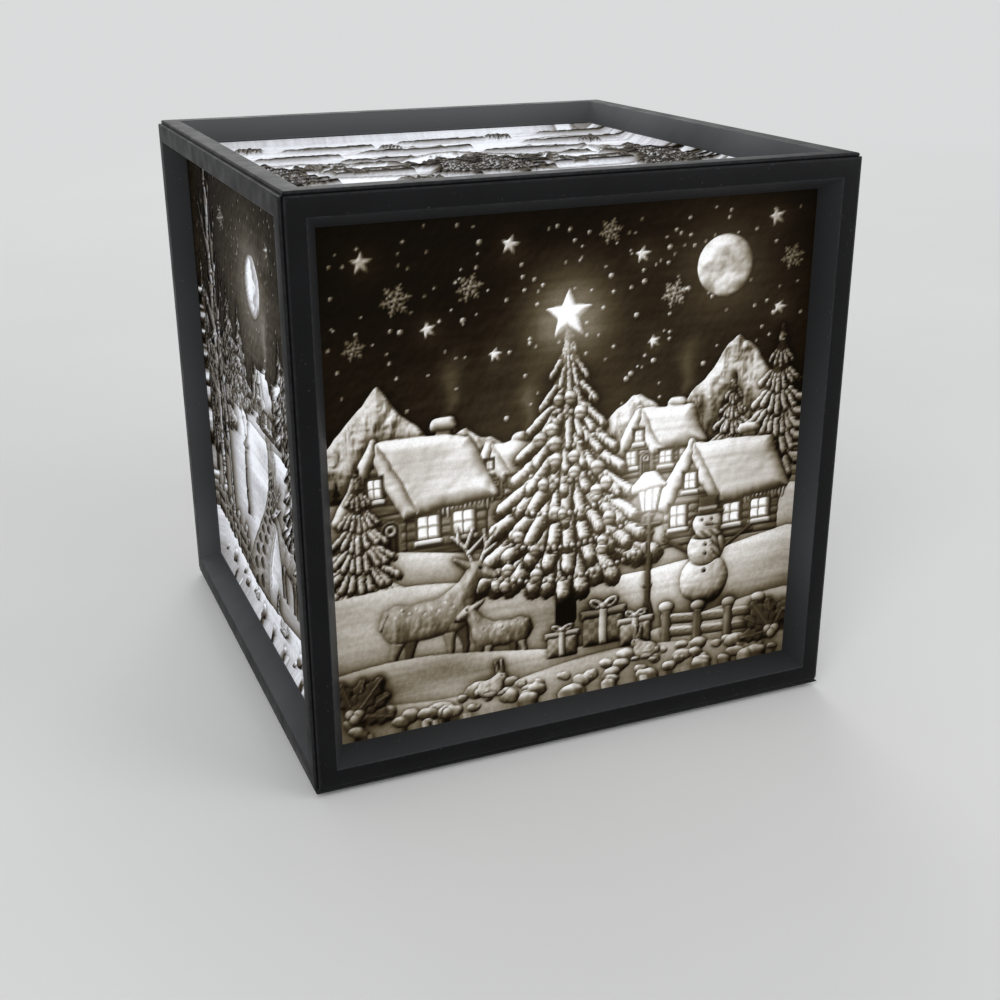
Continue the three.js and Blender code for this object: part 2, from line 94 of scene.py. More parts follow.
# Fields of numbers
def merged(a, b, soft):
    h = np.clip(0.5 + 0.5 * (a - b) / soft, 0, 1)
    return b + (a - b) * h + soft * h * (1 - h)


def blurred(field, sigma):
    n = field.shape[0]
    pad = n // 8
    wide = np.pad(field, pad, mode="edge")
    f = np.fft.rfftfreq(wide.shape[1])
    g = np.fft.fftfreq(wide.shape[0])
    gain = np.exp(-2 * (math.pi * sigma) ** 2 * (g[:, None] ** 2 + f[None, :] ** 2))
    return np.fft.irfft2(np.fft.rfft2(wide) * gain, wide.shape)[pad : pad + n, pad : pad + n]


# Light on a carving: from the upper left, with hollows shaded at three scales and faint print lines
LIGHT_ACROSS, LIGHT_UP, LIGHT_OUT = -0.42, 0.60, 0.68
STEEPEST, BRIGHTEST = 1.5, 1.45
AMBIENT = 0.2
HOLLOWS = ((0.0025, 60), (0.008, 30), (0.03, 7))
BRIGHT_SPOT, FALL_OFF = (0.5, 0.48), 1.45
PRINT_LINES, PRINT_DEPTH = (3, 130), 0.12
HALO_REACH = 2.6


class Carving:
    """A picture carved in low relief on the unit square: height, tint and glow at each point."""

    def __init__(self, size, seed):
        self.size = size
        self.rng = np.random.default_rng(seed)
        axis = (np.arange(size) + 0.5) / size
        self.x, self.y = np.meshgrid(axis, axis)
        self.height, self.tint, self.glow = np.zeros((3, size, size))

    def noise(self, x, y, across, up):
        lattice = self.rng.uniform(-1, 1, (up + 1, across + 1))
        u, v = x * across, y * up
        i, j = np.floor(u).astype(int), np.floor(v).astype(int)
        fu, fv = u - i, v - j
        fu, fv = fu * fu * (3 - 2 * fu), fv * fv * (3 - 2 * fv)
        i0, i1 = i % (across + 1), (i + 1) % (across + 1)
        j0, j1 = j % (up + 1), (j + 1) % (up + 1)
        low = lattice[j0, i0] * (1 - fu) + lattice[j0, i1] * fu
        high = lattice[j1, i0] * (1 - fu) + lattice[j1, i1] * fu
        return low * (1 - fv) + high * fv

    def fractal(self, x, y, across, up, octaves=3, ridged=False):
        total = 0
        for k in range(octaves):
            layer = self.noise(x, y, across * 2**k, up * 2**k)
            total = total + 0.5 ** (k + 1) * (1 - 2 * np.abs(layer) if ridged else layer)
        return total

    def lay(self, depth, tint, level, rise, bulge, texture=0.0, area=np.s_[:, :], scale=1.0):
        """Lay a shape over what is there: its rim at level, domed by rise over the distance bulge."""
        mask = np.clip(depth * scale * self.size + 0.5, 0, 1)
        dome = np.sqrt(1 - (1 - np.clip(depth / bulge, 0, 1)) ** 2)
        self.height[area] += mask * (level + rise * dome + texture - self.height[area])
        self.tint[area] += mask * (tint - self.tint[area])

    def halo(self, cx, cy, radius, strength, squash=1.0):
        near = Patch(self, cx, cy, radius, (-HALO_REACH, -HALO_REACH, HALO_REACH, HALO_REACH))
        self.glow[near.area] += strength * np.exp(-near.u**2 - (near.v / squash) ** 2)

    def toned(self, percents, tones, corner):
        """Tones of the lit carving, spread so that each of the percents has its tone."""
        up, across = np.gradient(self.height)
        slope = np.hypot(across, up) * self.size
        ease = np.tanh(slope / STEEPEST) * STEEPEST / np.maximum(slope, 1e-6) * self.size
        nx, ny = -across * ease, -up * ease
        facing = LIGHT_ACROSS * nx + LIGHT_UP * ny + LIGHT_OUT
        lit = np.clip(facing / np.sqrt(1 + nx * nx + ny * ny) / LIGHT_OUT, 0, BRIGHTEST)
        shade = 1
        for sigma, weight in HOLLOWS:
            shade = shade + weight * np.maximum(blurred(self.height, sigma * self.size) - self.height, 0)
        away = np.hypot(self.x - BRIGHT_SPOT[0], self.y - BRIGHT_SPOT[1])
        dimmed = 1 - corner * np.clip(away * FALL_OFF, 0, 1.2) ** 3
        tone = self.tint * (AMBIENT + (1 - AMBIENT) * lit) / shade + self.glow
        tone = tone * dimmed * (1 + PRINT_DEPTH * self.fractal(self.x, self.y, *PRINT_LINES, 2))
        steps = np.percentile(tone, percents) + np.arange(len(percents)) * 1e-6
        return np.interp(tone, steps, tones)


class Patch:
    """Part of a carving in a motif's own measure, u across and v up; a depth is positive inside a shape."""

    MARGIN = 3

    def __init__(self, carving, cx, cy, scale=1.0, box=(-1, -1, 1, 1), flip=1):
        self.carving, self.cx, self.cy, self.scale, self.flip = carving, cx, cy, scale, flip
        n = carving.size
        ends = []
        for middle, share, more in zip((cx, cy) * 2, box, (0, 0, 1, 1)):
            margin = self.MARGIN + 1 if more else -self.MARGIN
            ends.append(min(n, max(0, int((middle + share * scale) * n) + margin)))
        left, low, right, high = ends
        self.area = np.s_[low:high, left:right]
        self.x, self.y = carving.x[self.area], carving.y[self.area]
        self.u, self.v = flip * (self.x - cx) / scale, (self.y - cy) / scale

    def at(self, u, v):
        return self.cx + self.flip * u * self.scale, self.cy + v * self.scale

    def disc(self, u, v, r):
        return r - np.hypot(self.u - u, self.v - v)

    def oval(self, u, v, a, b, turn=0.0):
        c, s = math.cos(turn), math.sin(turn)
        x, y = self.u - u, self.v - v
        return (1 - np.hypot((x * c + y * s) / a, (y * c - x * s) / b)) * min(a, b)

    def limb(self, p, q, r0, r1):
        x, y, dx, dy = self.u - p[0], self.v - p[1], q[0] - p[0], q[1] - p[1]
        t = np.clip((x * dx + y * dy) / (dx * dx + dy * dy), 0, 1)
        return r0 + (r1 - r0) * t - np.hypot(x - t * dx, y - t * dy)

    def slab(self, u0, v0, u1, v1):
        return np.minimum(np.minimum(self.u - u0, u1 - self.u), np.minimum(self.v - v0, v1 - self.v))

    def outline(self, points):
        inside, nearest = False, np.inf
        for p, q in zip(points, points[1:] + points[:1]):
            nearest = np.minimum(nearest, -self.limb(p, q, 0, 0))
            if p[1] != q[1]:
                crossing = p[0] + (q[0] - p[0]) * (self.v - p[1]) / (q[1] - p[1])
                inside = inside ^ (((p[1] > self.v) != (q[1] > self.v)) & (self.u < crossing))
        return np.where(inside, nearest, -nearest)

    def noise(self, across, up):
        return self.carving.noise(self.x, self.y, across, up)

    def fractal(self, across, up, octaves=3):
        return self.carving.fractal(self.x, self.y, across, up, octaves)

    def lay(self, depth, tint, level, rise, bulge, texture=0.0):
        self.carving.lay(depth, tint, level, rise, bulge, texture, self.area, self.scale)


# Motifs of the pictures, with places on the unit square and the level that each one stands out to
def night_sky(art, top=0.10, low=0.32, rough=0.0025):
    art.tint[:] = low + (top - low) * art.y**0.7 + 0.03 * art.fractal(art.x, art.y, 5, 24)
    art.height[:] = rough * art.fractal(art.x, art.y, 70, 70, 2)


def dots(art, count, floor):
    for _ in range(count):
        cx, cy = art.rng.uniform(0.01, 0.99), art.rng.uniform(floor, 0.99)
        dot = Patch(art, cx, cy, art.rng.choice([0.0026, 0.0036, 0.005], p=[0.5, 0.35, 0.15]))
        dot.lay(dot.disc(0, 0, 1), 0.95, 0.004, 0.004, 1)


def star(art, cx, cy, r, turn=0.0, level=0.01):
    tips = []
    for k in range(10):
        angle, reach = turn + math.pi / 2 + k * math.pi / 5, 0.45 if k % 2 else 1
        tips.append((reach * math.cos(angle), reach * math.sin(angle)))
    shape = Patch(art, cx, cy, r)
    shape.lay(shape.outline(tips), 1.0, level, r * 0.3, 0.3)
    art.halo(cx, cy, r * 1.5, 0.12)


def snowflake(art, cx, cy, r, tint=0.8):
    flake, sector = Patch(art, cx, cy, r), math.pi / 3
    folded = np.abs((np.arctan2(flake.v, flake.u) - 0.2 + sector / 2) % sector - sector / 2)
    away = np.hypot(flake.u, flake.v)
    flake.u, flake.v = away * np.cos(folded), away * np.sin(folded)
    depth = flake.limb((0, 0), (1, 0), 0.075, 0.0525)
    for at, reach in ((0.36, 0.26), (0.66, 0.2)):
        depth = np.maximum(depth, flake.limb((at, 0), (at + reach * 0.6, reach), 0.0675, 0.045))
    flake.lay(depth, tint, 0.006, 0.004, 0.075)


def moon(art, cx, cy, r):
    face = Patch(art, cx, cy, r)
    seas = np.clip(face.fractal(22, 22, 4) * 1.8 + 0.1, 0, 1)
    pits = face.fractal(60, 60, 2)
    face.lay(face.disc(0, 0, 1), 0.98 - 0.5 * seas, 0.01, r * 0.18, 0.6, 0.003 * pits)
    art.halo(cx, cy, r * 1.4, 0.20)
    art.halo(cx, cy, r * 3.0, 0.14)


def cloud(art, cx, cy, size):
    puff = Patch(art, cx, cy, size, (-1, -0.3, 1, 0.5))
    depth = puff.oval(0, 0, 0.9, 0.14)
    for u, v, r in ((-0.5, 0.07, 0.2), (-0.15, 0.16, 0.27), (0.25, 0.12, 0.24), (0.6, 0.05, 0.15)):
        depth = merged(depth, puff.disc(u, v, r), 0.05)
    wisps = puff.fractal(30, 50)
    puff.lay(depth + 0.02 * wisps, 0.97, 0.01, 0.14 * size, 0.2, 0.006 * wisps)


def peaks(art, base, summits, level=0.012, rock=0.3, snow=0.95):
    xs = art.x[0]
    crest = np.full(art.size, -1.0)
    for px, py, spread in summits:
        crest = np.maximum(crest, py - np.abs(xs - px) * (py - base) / spread)
    crest += 0.03 * art.fractal(xs, 0 * xs + 0.5, 14, 1, 4) * np.clip((crest - base) * 12, 0, 1)
    spurs = art.fractal(art.x, art.y, 9, 6, 5, ridged=True)
    cap = np.clip((art.y - base) / 0.10 - 0.4 + 1.6 * spurs, 0, 1)
    art.lay(crest[None, :] - art.y, rock + (snow - rock) * cap, level, 0.02, 0.1, 0.035 * spurs)


def drift(art, crest, tint, level, rise=0.03, bulge=0.14):
    ripple = art.fractal(art.x, art.y + 0.15 * np.sin(3 * art.x), 4, 14, 2)
    frost = art.noise(0.8 * art.x + 0.6 * art.y, 0.8 * art.y - 0.6 * art.x, 200, 200)
    shade = tint * (0.94 + 0.16 * ripple + 0.05 * frost)
    art.lay(crest(art.x) - art.y, shade, level, rise, bulge, 0.005 * ripple + 0.00012 * frost)


def small_fir(art, cx, foot, tall, half, level):
    tree = Patch(art, cx, foot, 1, (-half, -0.01, half, tall))
    v = np.clip(tree.v / tall, 0, 1)
    saw = (v * 6) % 1
    depth = np.minimum(half * (1 - v) * (1 - 0.45 * saw) - np.abs(tree.u), tree.v + 0.01)
    snow = saw * (tree.fractal(90, 90, 2) > -0.15)
    tree.lay(depth, 0.16 + 0.5 * snow, level, 0.008, half * 0.5, 0.004 * saw)


def treeline(art, foot, level=0.02, count=34, low=0.07, high=0.12):
    for k in range(count):
        cx = (k + 0.5 + art.rng.uniform(-0.3, 0.3)) / count
        lift, tall = art.rng.uniform(-0.01, 0.012), art.rng.uniform(low, high)
        small_fir(art, cx, foot(cx) + lift, tall, 0.024, level + 0.0005 * k)


def fir(art, cx, foot, tall, half, level, tiers=7):
    stem = Patch(art, cx, foot, 1, (-half * 0.2, -0.02, half * 0.2, tall * 0.3))
    trunk = stem.limb((0, -0.01), (0, tall * 0.25), half * 0.13, half * 0.1)
    stem.lay(trunk, 0.3 + 0.2 * stem.fractal(120, 14, 2), level - 0.01, 0.01, half * 0.12)
    for k in range(tiers):
        t = k / (tiers - 1)
        top = foot + tall * (0.26 + 0.70 * t)
        reach = half * (1 - t) ** 0.9 + half * 0.07
        drop = tall * (0.19 - 0.09 * t)
        arms = int(2 + 3 * (1 - t))
        for j in sorted(range(-arms, arms + 1), key=lambda j: -abs(j)):
            a = j / arms + art.rng.uniform(-0.06, 0.06)
            fall = drop * (1 - 0.42 * abs(a) + art.rng.uniform(-0.1, 0.1))
            base, tip = (cx + a * reach * 0.12, top + drop * 0.25), (cx + a * reach, top - fall)
            bough(art, base, tip, reach, level + 0.004 * k + 0.006 * (1 - abs(a)))


def bough(art, base, tip, reach, level):
    r0, r1 = reach * 0.17 + 0.003, reach * 0.085 + 0.003
    run, fall = tip[0] - base[0], tip[1] - base[1]
    arm = Patch(art, *base, 1, (min(run, 0) - r0, fall - r0, max(run, 0) + r0, r0))
    jag = np.abs(arm.noise(170, 170))
    fuzz = arm.fractal(110, 110, 2)
    needles = arm.limb((0, 0), (run, fall), r0, r1) - 0.006 * jag
    arm.lay(needles, 0.22 * (1 + 0.9 * fuzz), level, r0 * 0.6, r0, 0.004 * jag)
    near, far = (run * 0.42, fall * 0.42 + r0 * 0.35), (run * 0.97, fall * 0.97 + r1 * 0.45)
    snow = arm.limb(near, far, r0 * 0.42, r1 * 0.75) - 0.0035 * jag
    arm.lay(snow, 0.95 * (1 + 0.12 * fuzz), level + r0 * 0.45, r0 * 0.5, r0 * 0.4)


def around(art, points, margin=0.0):
    xs, ys = zip(*points)
    return Patch(art, 0, 0, 1, (min(xs) - margin, min(ys) - margin, max(xs) + margin, max(ys) + margin))


def walls(art, points, tint, level, course):
    wall = around(art, points)
    grain = wall.fractal(14, 130)
    part = ((wall.v - points[0][1]) / course) % 1
    groove = np.clip(1 - np.minimum(part, 1 - part) * 8, 0, 1)
    log = np.sqrt(np.clip(1 - (2 * part - 1) ** 2, 0, 1))
    shade = tint * (1 + 0.6 * grain) * (1 - 0.6 * groove)
    wall.lay(wall.outline(points), shade, level, 0.004, 0.008, 0.003 * grain + 0.006 * log)


def snow_slab(art, points, level, plump=0.03):
    snow = around(art, points, 0.02)
    soft = snow.fractal(22, 22)
    depth = snow.outline(points) + 0.007 + 0.007 * soft
    snow.lay(depth, 0.97, level, plump * 0.8, plump, 0.003 * soft)


def icicles(art, x0, y0, x1, y1, level):
    count = int(abs(x1 - x0) / 0.009)
    for k in range(count):
        t = (k + 0.5) / count
        drop = art.rng.uniform(0.008, 0.024)
        spike = Patch(art, x0 + (x1 - x0) * t, y0 + (y1 - y0) * t, 1, (-0.005, -drop, 0.005, 0.005))
        spike.lay(spike.limb((0, 0), (0, -drop), 0.003, 0.0008), 0.95, level, 0.004, 0.003)


def pane(art, x0, y0, w, h, level):
    glass = Patch(art, x0, y0, 1, (-0.012, -0.012, w + 0.012, h + 0.012))
    whole = glass.slab(0, 0, w, h)
    glass.lay(whole + 0.006, 0.24, level, 0.006, 0.006)
    u, v = glass.u % (w / 2), glass.v % (h / 2)
    bar = np.minimum(np.minimum(u, w / 2 - u), np.minimum(v, h / 2 - v))
    glass.lay(np.minimum(whole, bar - min(w, h) * 0.04), 1.25, level + 0.006, 0.0, 0.01)
    glass.lay(glass.slab(-0.007, -0.0125, w + 0.007, -0.0035), 1.0, level + 0.008, 0.004, 0.004)
    art.halo(x0 + w / 2, y0 + h / 2, w * 1.1, 0.16)


def smoke(art, cx, cy):
    for k in range(9):
        sway = 0.012 * math.sin(k * 0.75) + 0.004 * k
        art.halo(cx + sway, cy + 0.0135 * k, 0.0066 + 0.0024 * k, 0.13 - 0.01 * k)


def doorway(art, cx, y0, half, tall, level):
    door = Patch(art, cx, y0, 1, (-half * 2, 0, half * 2, tall + half * 2))
    leaf = np.maximum(door.slab(-half, 0, half, tall), door.disc(0, tall, half))
    door.lay(leaf + 0.005, 0.6, level + 0.008, 0.005, 0.005)
    planks = 0.26 * (1 + 0.5 * np.sin(door.u / half * 9))
    door.lay(leaf, planks, level + 0.004, 0.002, 0.008)
    wreath = half * 0.2 - np.abs(door.disc(0, tall, half * 0.5))
    door.lay(wreath, 0.9, level + 0.012, 0.006, half * 0.2)


def cottage(art, x0, y0, w, h, level):
    gable, tint, course = w * 0.42, 0.5, h * 0.085
    gx, x1, mid = x0 + gable, x0 + w, x0 + gable / 2
    peak, eave, over = y0 + h * 1.02, y0 + h * 0.5, h * 0.07
    left, sy, sh = x0 + w * 0.64, y0 + h * 1.12, h * 0.03
    right = left + w * 0.11
    smoke(art, (left + right) / 2, y0 + h * 1.2)
    stack = [(left, y0 + h * 0.7), (right, y0 + h * 0.7), (right, sy), (left, sy)]
    walls(art, stack, 0.4, level - 0.004, h * 0.055)
    cap = [(left - 0.003, sy), (right + 0.003, sy), (right, sy + sh), (left, sy + sh)]
    snow_slab(art, cap, level, 0.012)
    walls(art, [(gx, y0), (x1, y0), (x1, eave), (gx, eave)], tint * 0.8, level, course)
    walls(art, [(x0, y0), (gx, y0), (gx, eave), (mid, peak), (x0, eave)], tint, level + 0.004, course)
    icicles(art, gx + over, eave - over * 1.5, x1 + over, eave - over * 0.7, level + 0.012)
    ridge, low = (x1 - gable * 0.3, y0 + h * 0.98), (x1 + over, eave - over * 0.4)
    snow_slab(art, [(mid, peak), ridge, low, (gx + over * 0.9, eave - over * 1.2)], level + 0.012)
    for way, edge in ((1, gx), (-1, x0)):
        rake = [(mid, peak + over * 0.5), (mid, peak - over * 0.9)]
        rake += [(edge - way * over * 0.1, eave - over * 1.5), (edge + way * over * 1.1, eave - over * 1.2)]
        snow_slab(art, rake, level + 0.02, 0.018)
    pane(art, mid - gable * 0.11, y0 + h * 0.58, gable * 0.22, h * 0.16, level + 0.012)
    pane(art, x0 + gable * 0.13, y0 + h * 0.2, gable * 0.3, h * 0.22, level + 0.012)
    doorway(art, x0 + gable * 0.74, y0, gable * 0.14, h * 0.28, level)
    for share in (0.14, 0.58):
        pane(art, gx + (x1 - gx) * share, y0 + h * 0.16, (x1 - gx) * 0.26, h * 0.2, level + 0.008)


ANTLERS = (
    ((0.36, 0.84), (0.30, 0.98)), ((0.30, 0.98), (0.36, 1.12)), ((0.32, 0.93), (0.43, 1.04)),
    ((0.30, 0.98), (0.20, 1.08)), ((0.25, 1.03), (0.24, 1.13)), ((0.41, 0.84), (0.46, 0.97)),
    ((0.46, 0.97), (0.54, 1.08)), ((0.44, 0.91), (0.53, 0.98)), ((0.46, 0.97), (0.44, 1.10)),
)
FAR_LEGS = ((-0.12, 0.40), (-0.15, 0.2), (-0.13, 0.01)), ((0.24, 0.44), (0.29, 0.22), (0.27, 0.01))
NEAR_LEGS = ((-0.20, 0.42), (-0.27, 0.21), (-0.23, 0.0)), ((0.16, 0.42), (0.17, 0.21), (0.16, 0.0))


def deer(art, cx, foot, size, level, flip=1, antlers=ANTLERS, tint=0.66):
    patch = Patch(art, cx, foot, size, (-0.62, -0.1, 0.62, 1.15), flip)
    fur = patch.fractal(110, 60)
    for pair, shade, lift in ((FAR_LEGS, 0.55, 0.0), (NEAR_LEGS, 0.95, 0.004)):
        for hip, knee, hoof in pair:
            leg = merged(patch.limb(hip, knee, 0.065, 0.028), patch.limb(knee, hoof, 0.025, 0.022), 0.02)
            patch.lay(leg, tint * shade, level + lift, 0.012, 0.03, 0.001 * fur)
    for p, q in antlers:
        patch.lay(patch.limb(p, q, 0.014, 0.009), 0.95, level + 0.008, 0.008, 0.014)
    body = merged(patch.oval(0.0, 0.47, 0.30, 0.145, 0.06), patch.oval(0.2, 0.50, 0.13, 0.16), 0.05)
    body = merged(body, patch.oval(-0.22, 0.47, 0.12, 0.15), 0.05)
    body = merged(body, patch.limb((0.22, 0.52), (0.37, 0.78), 0.105, 0.065), 0.06)
    body = merged(body, patch.limb((0.38, 0.80), (0.51, 0.73), 0.066, 0.036), 0.03)
    for p, q, r in (((0.33, 0.83), (0.22, 0.90), 0.034), ((-0.3, 0.56), (-0.35, 0.46), 0.035)):
        body = np.maximum(body, patch.limb(p, q, r, r * 0.4))
    pale = np.clip((0.42 - patch.v) / 0.08, 0, 1)
    patch.lay(body, tint + 0.28 * pale + 0.2 * fur, level + 0.008, 0.06 * size + 0.008, 0.13, 0.0022 * fur)
    top, flat = level + 0.06 * size + 0.012, 0.01 / size
    for k in range(9):
        spot = patch.disc(-0.24 + 0.055 * k, 0.53 + 0.035 * (k % 2) + 0.012 * math.sin(k), 0.011)
        patch.lay(spot, 1.0, top, 0.001, flat)
    patch.lay(patch.disc(0.405, 0.815, 0.016), 0.03, top, 0.002, flat)
    patch.lay(patch.oval(0.545, 0.722, 0.022, 0.017), 0.1, top, 0.002, 0.014)


def hare(art, cx, foot, size, level=0.33, flip=1):
    patch = Patch(art, cx, foot, size, (-0.8, -0.3, 0.8, 1.3), flip)
    fur = patch.fractal(120, 120, 2)
    for p, q in (((0.22, 0.72), (0.10, 1.22)), ((0.30, 0.74), (0.30, 1.25))):
        patch.lay(patch.limb(p, q, 0.075, 0.04), 0.9, level, 0.012, 0.06)
        patch.lay(patch.limb(p, q, 0.035, 0.015), 0.5, level + 0.006, 0.0, 0.05)
    body = merged(patch.oval(-0.12, 0.3, 0.40, 0.30), patch.oval(0.12, 0.42, 0.22, 0.28), 0.1)
    body = merged(body, patch.oval(0.28, 0.64, 0.19, 0.16), 0.06)
    body = np.maximum(body, np.maximum(patch.disc(-0.53, 0.24, 0.10), patch.oval(0.28, 0.06, 0.16, 0.06)))
    patch.lay(body, 0.92 + 0.14 * fur, level + 0.004, 0.10 * size, 0.2, 0.002 * fur)
    patch.lay(patch.oval(-0.12, 0.09, 0.24, 0.08), 0.9, level + 0.1 * size, 0.04 * size, 0.07)
    patch.lay(patch.disc(0.33, 0.68, 0.032), 0.03, level + 0.12 * size, 0.002, 0.01 / size)
    patch.lay(patch.disc(0.46, 0.62, 0.026), 0.3, level + 0.1 * size, 0.004, 0.01 / size)


def snowman(art, cx, foot, size, level):
    patch = Patch(art, cx, foot, size, (-0.55, -0.1, 0.55, 1.12))
    soft = patch.fractal(40, 40)
    for side in (-1, 1):
        twig = patch.limb((side * 0.17, 0.52), (side * 0.46, 0.70), 0.014, 0.01)
        for u, v in ((0.46, 0.74), (0.49, 0.66)):
            twig = np.maximum(twig, patch.limb((side * 0.41, 0.67), (side * u, v), 0.009, 0.006))
        patch.lay(twig, 0.3, level, 0.008, 0.014)
    for v, r in ((0.22, 0.25), (0.54, 0.19), (0.80, 0.145)):
        ball = patch.disc(0, v, r) + 0.003 / size * soft
        patch.lay(ball, 0.98, level + 0.004, r * size * 0.5, r * 0.9, 0.002 * soft)
    top = level + 0.09 * size
    tail = patch.limb((0.08, 0.66), (0.12, 0.45), 0.035, 0.04)
    scarf = np.maximum(patch.oval(0, 0.675, 0.15, 0.045), tail)
    patch.lay(scarf, 0.5 + 0.22 * np.sin((patch.x + patch.y) / size * 70), top, 0.012, 0.03)
    hat = np.maximum(patch.slab(-0.1, 0.90, 0.1, 1.07), patch.oval(0, 0.905, 0.17, 0.028))
    patch.lay(hat, 0.25, top, 0.016, 0.04)
    patch.lay(patch.slab(-0.1, 0.929, 0.1, 0.961), 0.7, top + 0.014, 0.004, 0.01 / size)
    eyes = ((-0.05, 0.83, 0.016), (0.05, 0.83, 0.016))
    buttons = ((0, 0.57, 0.018), (0, 0.48, 0.018), (0, 0.3, 0.02))
    for u, v, r in eyes + buttons:
        patch.lay(patch.disc(u, v, r), 0.05, top, 0.004, 0.014)
    patch.lay(patch.limb((0, 0.79), (0.11, 0.775), 0.02, 0.004), 0.55, top + 0.01, 0.008, 0.02)


def lantern(art, cx, foot, size, level):
    lamp = Patch(art, cx, foot, size, (-0.2, -0.01 / size, 0.2, 1.05))
    post = np.maximum(lamp.limb((0, 0), (0, 0.72), 0.022, 0.016), lamp.limb((0, 0), (0, 0.07), 0.05, 0.03))
    post = np.maximum(post, lamp.limb((-0.08, 0.64), (0.08, 0.64), 0.011, 0.011))
    for v in (0.2, 0.42, 0.58, 0.7):
        post = np.maximum(post, lamp.oval(0, v, 0.036, 0.018))
    lamp.lay(post, 0.3, level, 0.010, 0.02)
    glass = lamp.outline([(-0.05, 0.73), (0.05, 0.73), (0.085, 0.9), (-0.085, 0.9)])
    lamp.lay(glass + 0.01, 0.2, level + 0.004, 0.006, 0.01 / size)
    bars = np.abs(np.abs(lamp.u) - 0.028)
    lamp.lay(np.minimum(glass, bars) - 0.006, 1.3, level + 0.008, 0.002, 0.01 / size)
    roof = [lamp.at(u, v) for u, v in ((-0.11, 0.9), (0.11, 0.9), (0.03, 0.985), (-0.03, 0.985))]
    snow_slab(art, roof, level + 0.008, 0.012)
    art.halo(cx, foot + 0.82 * size, 0.15 * size, 0.5)
    art.halo(cx, foot + 0.82 * size, 0.45 * size, 0.2)


def bauble(art, cx, cy, r, level, tint):
    ball = Patch(art, cx, cy, r, (-1, -1, 1, 1.5))
    ball.lay(ball.limb((0, 1), (0, 1.25), 0.25, 0.2), 0.5, level, 0.003, 0.2)
    band = np.abs(ball.v + 0.18 * ball.u**2) < 0.2
    ball.lay(ball.disc(0, 0, 1), np.where(band, tint * 0.45, tint), level + 0.006, r * 0.9, 1)


def decked_fir(art, cx, foot, tall, half, level):
    fir(art, cx, foot, tall, half, level, tiers=10)
    for row in range(6):
        v = 0.12 + 0.125 * row
        reach = half * (1 - v) ** 0.9
        count = int(reach / 0.0065)
        for k in range(count):
            u = -1 + 2 * (k + 0.5) / count
            sag = 0.03 * (1 - u * u)
            bauble(art, cx + u * reach, foot + 0.04 + tall * 0.93 * v - sag, 0.0042, level + 0.065, 1.0)
    for k in range(26):
        v = 0.1 + 0.72 * (k % 13) / 13 + art.rng.uniform(-0.02, 0.02)
        u = art.rng.uniform(-0.85, 0.85) * half * (1 - v) ** 0.9
        size, tint = art.rng.uniform(0.010, 0.0145), art.rng.choice([0.95, 0.75, 1.0])
        bauble(art, cx + u, foot + 0.035 + tall * 0.93 * v, size, level + 0.07, tint)
    star(art, cx, foot + tall * 1.025, 0.05, level=level + 0.06)
    art.halo(cx, foot + tall * 1.025, 0.085, 0.5)


def gift(art, x0, y0, w, h, level, tint):
    box = Patch(art, x0, y0, 1, (-0.02, 0, w + 0.02, h * 1.5))
    check = np.sin(box.u / w * 22) * np.sin(box.v / w * 22)
    box.lay(box.slab(0, 0, w, h * 0.82), tint * (0.9 + 0.2 * (check > 0)), level, 0.014, 0.02)
    box.lay(box.slab(-0.006, h * 0.78, w + 0.006, h), tint * 1.15, level + 0.008, 0.01, 0.014)
    box.lay(box.slab(w * 0.41, 0, w * 0.59, h), 0.98, level + 0.018, 0.006, w * 0.08)
    for way in (-1, 1):
        loop = box.oval(w * (0.5 + way * 0.17), h * 1.14, w * 0.2, h * 0.12, way * 0.5)
        box.lay(loop, 0.98, level + 0.016, 0.012, h * 0.1)
        hole = box.oval(w * (0.5 + way * 0.2), h * 1.15, w * 0.09, h * 0.045, way * 0.5)
        box.lay(hole, 0.3, level + 0.010, 0.0, 0.01)
    box.lay(box.disc(w * 0.5, h * 1.06, w * 0.075), 0.98, level + 0.024, 0.008, w * 0.07)


def stones(art, count, high, level):
    spots = sorted(art.rng.uniform((-0.01, 0), (high, 1), (count, 2)).tolist(), reverse=True)
    for k, (cy, cx) in enumerate(spots):
        r = art.rng.uniform(0.008, 0.022)
        a, b = r * art.rng.uniform(0.9, 1.4), r * art.rng.uniform(0.6, 0.85)
        stone = Patch(art, cx, cy, 1, (-a * 1.2, -b * 1.2, a * 1.2, b * 1.2))
        rough = stone.fractal(60, 60, 2)
        depth = stone.oval(0, 0, a, b, art.rng.uniform(-0.3, 0.3)) + 0.004 * rough
        tint = art.rng.uniform(0.4, 0.75)
        snow = np.clip(stone.v / b * 2.2 - 0.2 + rough, 0, 1)
        stone.lay(depth, tint + (1 - tint) * snow, level + 0.0006 * k, b * 0.8, b, 0.003 * rough)


def fence(art, x0, x1, top, level):
    tall = 0.085
    run = Patch(art, 0, 0, 1, (x0, 0, x1, 1))
    ends = np.minimum(run.x - x0, x1 - run.x)
    for v in (0.35, 0.72):
        off = run.y - top(run.x) - tall * v
        grain = 0.0015 * run.fractal(14, 140, 2)
        run.lay(np.minimum(0.0085 - np.abs(off), ends), 0.5, level, 0.008, 0.008, grain)
        run.lay(np.minimum(0.0045 - np.abs(off - 0.008), ends), 1.0, level + 0.004, 0.005, 0.0045)
    for px in np.arange(x0 + 0.012, x1, 0.075):
        post = Patch(art, px, top(px), 1, (-0.02, -0.01, 0.02, tall * 1.25))
        grain = 0.5 + 0.3 * post.fractal(160, 16, 2)
        post.lay(post.limb((0, -0.01), (0, tall), 0.0115, 0.0105), grain, level + 0.006, 0.010, 0.011)
        post.lay(post.oval(0, tall + 0.006, 0.016, 0.011), 1.0, level + 0.010, 0.010, 0.011)


